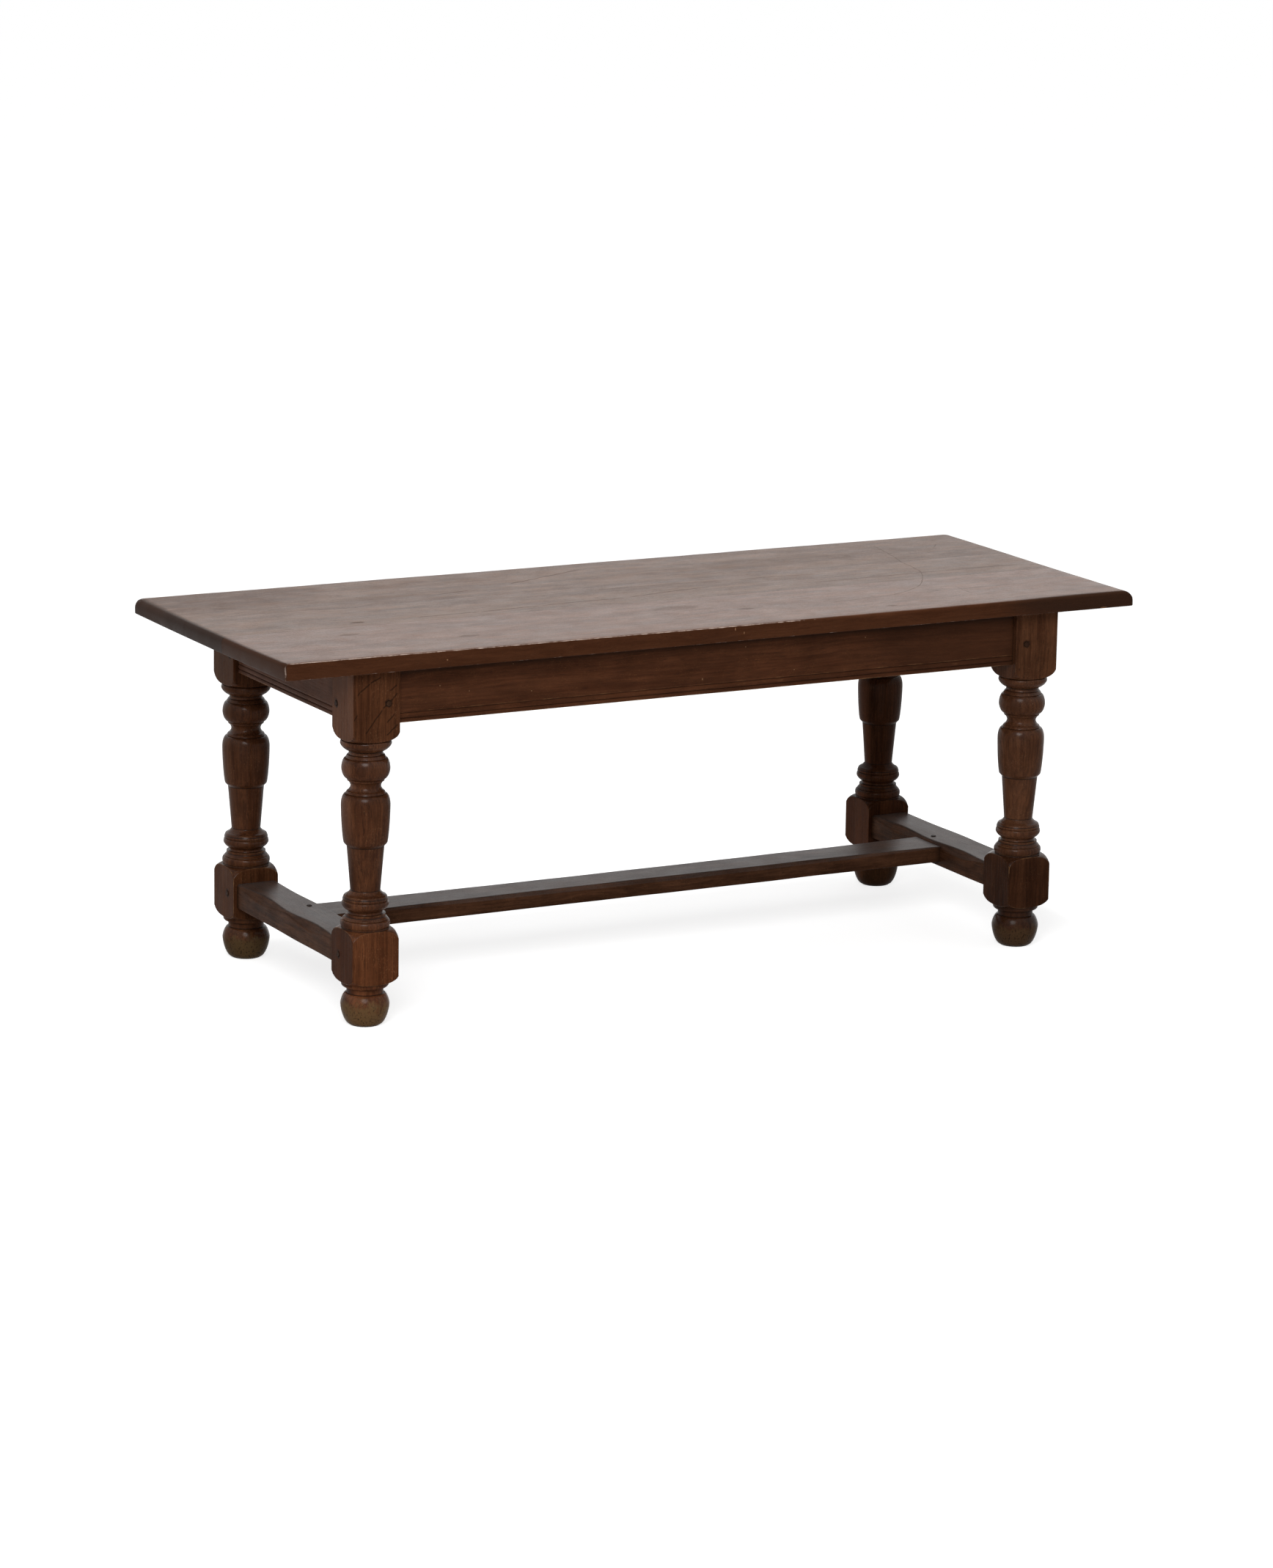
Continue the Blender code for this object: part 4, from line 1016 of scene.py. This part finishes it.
def topOutline(halfLength, halfWidth):
    # Points round the top before its corners are rounded, each with its outward direction.
    points = []
    for quarter, (sideX, sideY) in enumerate(((1, 1), (-1, 1), (-1, -1), (1, -1))):
        corner = Vector((sideX * halfLength, sideY * halfWidth))
        for k in range(top["cornerSteps"] + 1):
            turn = math.pi / 2 * (quarter + k / top["cornerSteps"])
            out = Vector((round(math.cos(turn), 6), round(math.sin(turn), 6)))
            points.append((corner, out))
        if quarter % 2:  # an end
            stations = steps(sideY * halfWidth, -sideY * halfWidth, top["outline"])[1:-1]
            points += [(Vector((corner.x, y)), Vector((sideX, 0))) for y in stations]
        else:
            insetLeft, insetRight = top["inset"]
            stations = steps(insetLeft - halfLength, halfLength - insetRight, top["outline"])
            if sideY < 0:  # the front cuts off the rounded ends, so it needs a point at each of their steps
                close = [edgeCurve(k)[0] for k in range(1, top["edgeSteps"])]
                left = [top["squareShare"] * insetLeft * reach - halfLength for reach in close]
                stations = left + stations + [halfLength - insetRight * reach for reach in reversed(close)]
            else:
                stations.reverse()
            points += [(Vector((x, corner.y)), Vector((0, sideY))) for x in stations]
    return points


def slabPoint(spot, out, low, high, step):
    # A point of the top's edge; steps below 0 are the eased lower corner.
    sideX, sideY = math.copysign(1, spot.x), math.copysign(1, spot.y)
    right, row = int(sideX > 0), "front" if sideY < 0 else "rear"
    inward, down, shine = edgeCurve(max(step, 0))
    change = smoothStep(*top["frontChange"], spot.x)
    frontInset, frontDrop = (a + (b - a) * change for a, b in (top["frontInset"], top["frontDrop"]))
    # the left end's rounding dies away towards the front, and the right end's slackens to the rear
    if right:
        full = 1 - (1 - top["rearShare"]) * smoothStep(low.y, high.y, spot.y)
    else:
        full = 1 - (1 - top["squareShare"]) * smoothStep(top["squareReach"], 0, spot.y - low.y)
    endInset, endDrop = top["inset"][right] * full, top["drop"][right] * full
    inX, inY = endInset * inward, (frontInset if row == "front" else top["backInset"]) * inward
    if step < 0:
        inX = inY = top["lowerEdge"][step][0]
    radius = max(top["cornerRadius"][row][right] - (inX + inY) / 2, 0)
    reachX, reachY = high.x - inX - radius, high.y - inY - radius
    x = sideX * min(abs(spot.x), reachX) + out.x * radius
    y = sideY * min(abs(spot.y), reachY) + out.y * radius
    front, back = max(-out.y, 0) ** 2, max(out.y, 0) ** 2
    if step < 0:
        _, height, worn = top["lowerEdge"][step]
        return x, y, low.z + height, worn * max(front, 0.2), 0
    across = min(max((high.x - abs(x)) / endInset, 0), 1)
    fall = endDrop * (1 - math.sqrt(1 - (1 - across) ** 2)) + frontDrop * down * across
    height = high.z - endDrop * down * (1 - front - back) - fall * front - top["backDrop"] * down * back
    # the pale line along the front arris: partly wear, partly a painted highlight
    frontWearAndHighlight = shine ** 3 * (1 - 0.75 * change)
    if across < 1:
        frontWearAndHighlight = 0.2 * shine if right else 0.66 * max(shine, 0.5)
    return x, y, height, front * frontWearAndHighlight + (1 - front) * 0.25 * shine, 0


def slabRings(low, high):
    outline = topOutline(high.x, high.y)
    return [
        [slabPoint(spot, out, low, high, step) for spot, out in outline]
        for step in range(-len(top["lowerEdge"]), top["edgeSteps"] + 1)
    ]


def shapeTop(bm, low, high, worn):
    # The settling of an old top: a bowed left end, a slight fall to the rear and right, a lost corner.
    for vert in bm.verts:
        share = (vert.co.z - low.z) / (high.z - low.z)
        x, y = vert.co.x / high.x, vert.co.y / high.y
        left = smoothStep(-top["bowShare"], -1.0, x)
        bow = top["bow"] * share + top["underBow"] * (1 - share)
        vert.co.x -= left * bow * (1 - y * y) - left * top["bowCut"]
        vert.co.z -= share * (top["sag"][0] * (1 + y) / 2 + top["sag"][1] * (1 + x) / 2)
        vert.co.z -= share * (top["sink"] + top["dip"] * (1 - x * x) * (1 - y) / 2)
        vert.co.z += sum(noise.noise(vert.co / size) * height for size, height in top["ripples"]) * share
        size, height = top["sideRipple"]
        vert.co.y += noise.noise(Vector((vert.co.x / size, 7.3, share))) * height * abs(y) ** 8
        near = math.hypot(vert.co.x - low.x, vert.co.y - low.y)
        if near < top["chipReach"]:
            grit = noise.noise(vert.co / top["chipGrit"])
            bite = max((1 - near / top["chipReach"]) * (0.75 + 0.9 * grit), 0)
            vert.co += Vector((1, 0.8, 0)).normalized() * top["chipDepth"] * bite
            vert[worn] = max(vert[worn], 0.9 * smoothStep(*top["chipWorn"], near))


def makeTop():
    corners = [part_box(name) for name in boards]
    low = Vector([min(box[0][k] for box in corners) for k in range(3)])
    high = Vector([max(box[1][k] for box in corners) for k in range(3)])
    rings = slabRings(low, high)
    for name, look in boards.items():
        bm = bmesh.new()
        sweep(bm, rings)
        boardLow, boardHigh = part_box(name)
        for place, side, limit in ((boardLow.y, -1, low.y), (boardHigh.y, 1, high.y)):
            if abs(place - limit) > 0.001:  # a glued side
                bisect(bm, (0, place, 0), (0, side, 0), weldDistance, clear_outer=True)
                bmesh.ops.contextual_create(bm, geom=[edge for edge in bm.edges if edge.is_boundary])
        for x in steps(low.x + top["marginX"], high.x - top["marginX"], top["gridX"]):
            bisect(bm, (x, 0, 0), (1, 0, 0), 5 * weldDistance)
        for y in steps(boardLow.y + top["marginY"], boardHigh.y - top["marginY"], top["gridY"]):
            bisect(bm, (0, y, 0), (0, 1, 0), 5 * weldDistance)
        shapeTop(bm, low, high, bm.verts.layers.float["worn"])
        finishPiece(name, "rounded", bm, pieceOak(name, topLook, look), top["sharpAngle"])


markShift = 0.009  # the top has sunk, so its marks lie further back than they seem
markHeight = 0.548  # about that of the sunken top
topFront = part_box("top_board_front")[0].y


def topLine(start, end, bow=0.0, width=0.0023, strength=0.85, tint=(0.070, 0.036, 0.020)):
    ends = [(x, y + markShift, 0) for x, y in (start, end)]
    return strength, tint, {"From": ends[0], "To": ends[1], "Bow": bow, "Width": width}


def topSpot(x, y, sizeX, sizeY, strength=0.6, tint=(0.070, 0.036, 0.020)):
    return strength, tint, {"Centre": (x, y + markShift, markHeight), "Size": (sizeX, sizeY, 0.05)}


def edgeChip(x, z, width, height, strength=0.6, tint=(0.34, 0.180, 0.095)):
    return strength, tint, {"Centre": (x, topFront, z), "Size": (width, 0.006, height)}


topLook = {
    "dark": (0.070, 0.0320, 0.0170), "light": (0.140, 0.0720, 0.0400), "ringSize": 0.006, "wander": 0.03,
    "rings": 0.18, "pores": 0.4, "grainLength": 0.48, "mottle": 0.13, "flecks": 0.4, "bump": 0.0005,
    "fleckColor": (0.20, 0.13, 0.095), "roughness": (0.32, 0.42), "specular": 0.02, "polish": 0.98,
    # the pale worn colour along the front arris is partly a painted highlight
    "wornColor": (0.46, 0.355, 0.300), "wornAmount": 0.92, "wornPatch": 0.013,
    "sideTint": (0.40, 0.38, 0.40), "sidePlain": 0.45,
    # the rounded ends painted greyer and bluer: a painted sheen
    "endPaintedLight": ((0.56, 0.80, 1.22),) * 2, "endFacing": (0.10, 0.50), "endPlain": 0.9,
}
boards = {
    "top_board_front": {
        "pith": (0, -0.16, 0.40), "dark": (0.080, 0.0340, 0.0180), "light": (0.150, 0.0710, 0.0410),
        # its ends painted greyer and bluer: a painted sheen
        "sideTint": (0.52, 0.395, 0.300), "endPaintedLight": ((0.53, 0.77, 1.12),) * 2, "polish": 1.18,
        "judder": (
            ((-0.56, -0.09, markHeight), (0.16, 0.05, 0.1)), ((-0.45, -0.22, markHeight), (0.15, 0.04, 0.1)),
        ),
        "marks": (
            topLine((0.459, -0.062), (0.411, -0.125), 0.003, 0.0012, 0.7),
            topLine((0.411, -0.125), (0.346, -0.164), 0.003, 0.0014, 0.7),
            topLine((0.230, -0.179), (0.346, -0.168), 0, 0.0018, 0.6),
            topLine((0.300, -0.165), (0.563, -0.163), 0.002, 0.0016, 0.35),
            topLine((0.468, -0.150), (0.465, -0.198), 0, 0.0012, 0.6),
        ),
        "spots": (
            topSpot(0.092, -0.172, 0.018, 0.007), topSpot(-0.374, -0.195, 0.022, 0.009, 0.5),
            topSpot(-0.003, -0.127, 0.05, 0.018, 0.3, (0.05, 0.022, 0.010)),
            topSpot(0.303, -0.236, 0.012, 0.006), topSpot(-0.528, -0.122, 0.02, 0.008, 0.5),
            # a dark strip along the right part of the front edge: painted shade on its rounding
            topSpot(0.62, -0.284, 0.22, 0.016, 0.75, (0.026, 0.0125, 0.0075)),
            edgeChip(0.0142, 0.5414, 0.0009, 0.0030, 0.8), edgeChip(0.0289, 0.5348, 0.0008, 0.0024),
            edgeChip(-0.449, 0.534, 0.0016, 0.0011), edgeChip(0.6468, 0.5245, 0.0070, 0.0012),
            edgeChip(0.5769, 0.5475, 0.0045, 0.0016, 0.9, (0.012, 0.006, 0.004)),
        ),
    },
    "top_board_middle": {
        "pith": (0, -0.01, 0.47),
        "marks": (
            topLine((-0.382, -0.041), (-0.278, -0.038)), topLine((-0.278, -0.038), (-0.178, -0.033)),
            topLine((-0.178, -0.033), (-0.028, -0.025), 0.002),
            topLine((-0.028, -0.025), (0.130, 0.002), 0.003),
            topLine((-0.562, 0.078), (-0.503, 0.071)), topLine((-0.503, 0.071), (-0.428, 0.061)),
            topLine((0.500, 0.082), (0.488, 0.001), 0.001, 0.0012, 0.7),
            topLine((0.488, 0.001), (0.456, -0.067), 0.004, 0.0012, 0.7),
            topLine((0.288, -0.028), (0.671, -0.023), 0.003, 0.004, 0.5),
            topLine((-0.05, 0.045), (0.34, 0.030), 0.004, 0.005, 0.35),
        ),
        "spots": (topSpot(-0.478, -0.043, 0.014, 0.006, 0.9), topSpot(0.10, 0.02, 0.22, 0.025, 0.22)),
    },
    "top_board_rear": {
        "pith": (0, 0.21, 0.42), "polish": 0.88,
        "marks": (
            topLine((-0.145, 0.140), (0.013, 0.207)), topLine((-0.632, 0.136), (-0.562, 0.098)),
            topLine((0.609, 0.155), (0.629, 0.178), 0, 0.0014, 0.6),
            topLine((-0.278, 0.107), (-0.220, 0.119)),
            topLine((0.530, 0.205), (0.498, 0.066), 0.003, 0.0012, 0.7),
        ),
        "spots": (
            topSpot(-0.60, 0.20, 0.24, 0.10, 0.35, (0.050, 0.020, 0.010)),
            topSpot(-0.25, 0.20, 0.20, 0.030, 0.25), topSpot(0.30, 0.15, 0.24, 0.040, 0.25),
            topSpot(-0.40, 0.12, 0.12, 0.015, 0.30),
        ),
    },
}
makeTop()
print("top boards glued")


# Pegs, cleft by hand, so none is quite round

peg = {
    "radius": 0.0041, "sides": 20, "unround": 0.00035, "uneven": 0.0002, "easing": 0.0006, "tip": 0.82,
    "dirtDepth": 0.0005, "sharpAngle": 40,
}
pegLook = {
    "dark": (0.028, 0.0125, 0.0075), "light": (0.060, 0.030, 0.018), "specular": 0.015,
    "ringSize": 0.0016, "wander": 0.004, "rings": 0.5, "pores": 0.6, "pith": (0.003, 0.004, 0.002),
    "wornColor": (0.09, 0.045, 0.024), "wornAmount": 0.6, "wornPatch": 0.006,
}


def makePeg(name, side, material, seed):
    low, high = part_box(name)
    side = Vector(side)
    length = abs((high - low).dot(side))
    bm = bmesh.new()
    worn, dirty = markLayers(bm)
    bmesh.ops.create_circle(bm, cap_ends=True, segments=peg["sides"], radius=peg["radius"] * peg["tip"])
    bmesh.ops.translate(bm, verts=bm.verts, vec=(0, 0, -length))
    face = bm.faces[:][0]
    for height, share in ((-length / 2, 0.95), (-peg["easing"] * 3, 1.0), (-peg["easing"], 0.98), (0, 0.88)):
        grown = bmesh.ops.extrude_face_region(bm, geom=[face])["geom"]
        bmesh.ops.delete(bm, geom=[face], context="FACES")
        face = next(part for part in grown if isinstance(part, bmesh.types.BMFace))
        for vert in face.verts:
            angle = math.atan2(vert.co.y, vert.co.x)
            out = Vector((math.cos(angle), math.sin(angle), 0))
            radius = peg["radius"] * share + peg["unround"] * noise.noise(out + Vector((0, 0, seed)))
            vert.co = out * radius + Vector((0, 0, height))
            vert[worn] = 1 if height == 0 else 0
    bmesh.ops.inset_individual(bm, faces=[face], thickness=peg["easing"])
    for vert in face.verts:
        vert.co.z += peg["uneven"] * noise.noise(Vector((vert.co.x, vert.co.y, seed)) * 300)
        vert[worn] = 0.3
    for part in bm.faces:
        if all(vert.co.z < -peg["dirtDepth"] for vert in part.verts):
            for vert in part.verts:
                vert[dirty] = 1
    turn = side.to_track_quat("Z", "Y").to_matrix().to_4x4()
    bmesh.ops.transform(bm, verts=bm.verts, matrix=Matrix.Translation(pegFace(name, side)) @ turn)
    finishPiece(name, "cleft", bm, material, peg["sharpAngle"])


# the stretchers' pegs are painted nearly black: a painted shadow, as if they sat deep in their holes
shadowedStretcherPegLook = {"dark": (0.010, 0.005, 0.003), "light": (0.024, 0.011, 0.006), "wornAmount": 0.0}
pegMaterials = {
    axis: oakMaterial("peg oak " + axis, {**pegLook, **tone, "axis": axis})
    for axis, tone in (("X", {}), ("Y", {}), ("Z", shadowedStretcherPegLook))
}
seed = 0.0
for depth, sideY in (("front", -1), ("rear", 1)):
    for hand, sideX in (("left", -1), ("right", 1)):
        for kind, side in (("long", (0, sideY, 0)), ("end", (sideX, 0, 0)), ("lower", (sideX, 0, 0))):
            seed += 1.7
            material = pegMaterials["Y" if kind == "long" else "X"]
            makePeg("peg_%s_%s_%s" % (kind, depth, hand), side, material, seed)
for hand in ("left", "right"):
    seed += 1.7
    makePeg("peg_stretcher_" + hand, (0, 0, 1), pegMaterials["Z"], seed)
print("pegs driven")


# Buttons and screws under the top

button = {
    "easing": 0.0015, "support": 0.003, "bevel": 0.0012, "bevelHeight": 0.002, "tongue": 0.009,
    "tongueHeight": 0.008, "sharpAngle": 40,
}
buttonLook = {
    "dark": (0.15, 0.085, 0.045), "light": (0.27, 0.165, 0.09), "ringSize": 0.004, "pith": (0, 0, 0.44),
    "wander": 0.01, "rings": 0.3, "pores": 0.45, "roughness": (0.55, 0.7), "wornColor": (0.30, 0.2, 0.12),
    "wornAmount": 0.5, "dirt": (0.05, 0.03, 0.018), "specular": 0.3,
}


def makeButton(name, turn, material):
    low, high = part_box(name)
    middle, size = (low + high) / 2, high - low
    width, length = (size.x, size.y) if turn in (0, math.pi) else (size.y, size.x)
    half, bevel, rise = width / 2, button["bevel"], low.z + button["tongueHeight"]
    shoulder = length / 2 - button["tongue"]
    corners = [
        (-length / 2, low.z, 0.6, 0), (length / 2, low.z, 0.6, 0), (length / 2, rise, 0.3, 0),
        (shoulder, rise, 0, 1), (shoulder, high.z, 0, 0), (-length / 2, high.z, 0, 0),
    ]
    outline = easedOutline(corners, button["easing"], button["support"])
    bm = bmesh.new()
    rings = []
    for x, shrink in ((-half, bevel), (bevel - half, 0), (half - bevel, 0), (half, bevel)):
        share = 1 - 2 * shrink / length
        rings.append([
            (x, y * share, z + (shrink if z < low.z + button["bevelHeight"] else 0), worn, dirty)
            for y, z, worn, dirty in outline
        ])
    sweep(bm, rings)
    standAt(bm, turn, middle.x, middle.y)
    finishPiece(name, "bevelled", bm, material, button["sharpAngle"])


screw = {
    "sides": 24, "headRadius": 0.0044, "headDepth": 0.003, "shankRadius": 0.0022, "slotWidth": 0.0009,
    "slotDepth": 0.0008, "threadLength": 0.010, "turns": 6, "pitch": 0.0014, "taper": 0.12, "root": 0.78,
    "sharpAngle": 30,
}


def screwMaterial():
    material, tree, shader = newMaterial("dull screw steel")
    place = addNode(tree, "ShaderNodeTexCoord").outputs["Object"]
    cloud = noiseAt(tree, place, 600.0, 4.0, 0.6)
    color = mixColor(tree, ramp(tree, cloud, 0.42, 0.62), (0.36, 0.35, 0.33), (0.13, 0.085, 0.055))
    rough = ramp(tree, cloud, 0.3, 0.7, 0.35, 0.65)
    setInputs(tree, shader, {"Metallic": 1.0, "Base Color": color, "Roughness": rough})
    return material


def makeScrew(name, material):
    low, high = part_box(name)
    middle = (low + high) / 2
    head, depth, shank = screw["headRadius"], screw["headDepth"], screw["shankRadius"]
    thread = high.z - screw["threadLength"]
    outline = [
        (0, low.z), (head * 0.8, low.z), (head, low.z + 0.0003), (head, low.z + 0.0006),
        (shank, low.z + depth), (shank, thread),
    ]
    for k in range(screw["turns"]):
        z, crest = thread + k * screw["pitch"], shank * (1 - k * screw["taper"])
        root = crest * screw["root"]
        outline += [(root, z + 0.0003), (crest, z + 0.0007), (root, z + 0.0011)]
    outline.append((0, high.z))
    bm = bmesh.new()
    spinProfile(bm, outline, screw["sides"])
    bmesh.ops.translate(bm, verts=bm.verts, vec=(middle.x, middle.y, 0))
    piece = finishPiece(name, "slotted", bm, material, screw["sharpAngle"])
    bm = bmesh.new()
    bmesh.ops.create_cube(bm, size=1)
    bmesh.ops.scale(bm, verts=bm.verts, vec=(head * 2.4, screw["slotWidth"], screw["slotDepth"] * 2))
    turn = len(name) * 7 % 5 * 0.6  # each screw has stopped at an angle of its own
    standAt(bm, turn, middle.x, middle.y, low.z)
    cutWith(piece, bm)


buttonMaterials = {
    axis: oakMaterial("button oak " + axis, {**buttonLook, "axis": axis}) for axis in "XY"
}
steel = screwMaterial()
for node in sorted(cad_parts):
    if node.startswith("button_"):
        label = node.split("_")[1]
        turn = {"rear": 0, "front": math.pi, "left": math.pi / 2, "right": -math.pi / 2}[label]
        makeButton(node, turn, buttonMaterials["X" if label in ("left", "right") else "Y"])
    elif node.startswith("screw_"):
        makeScrew(node, steel)
print("buttons and screws set")
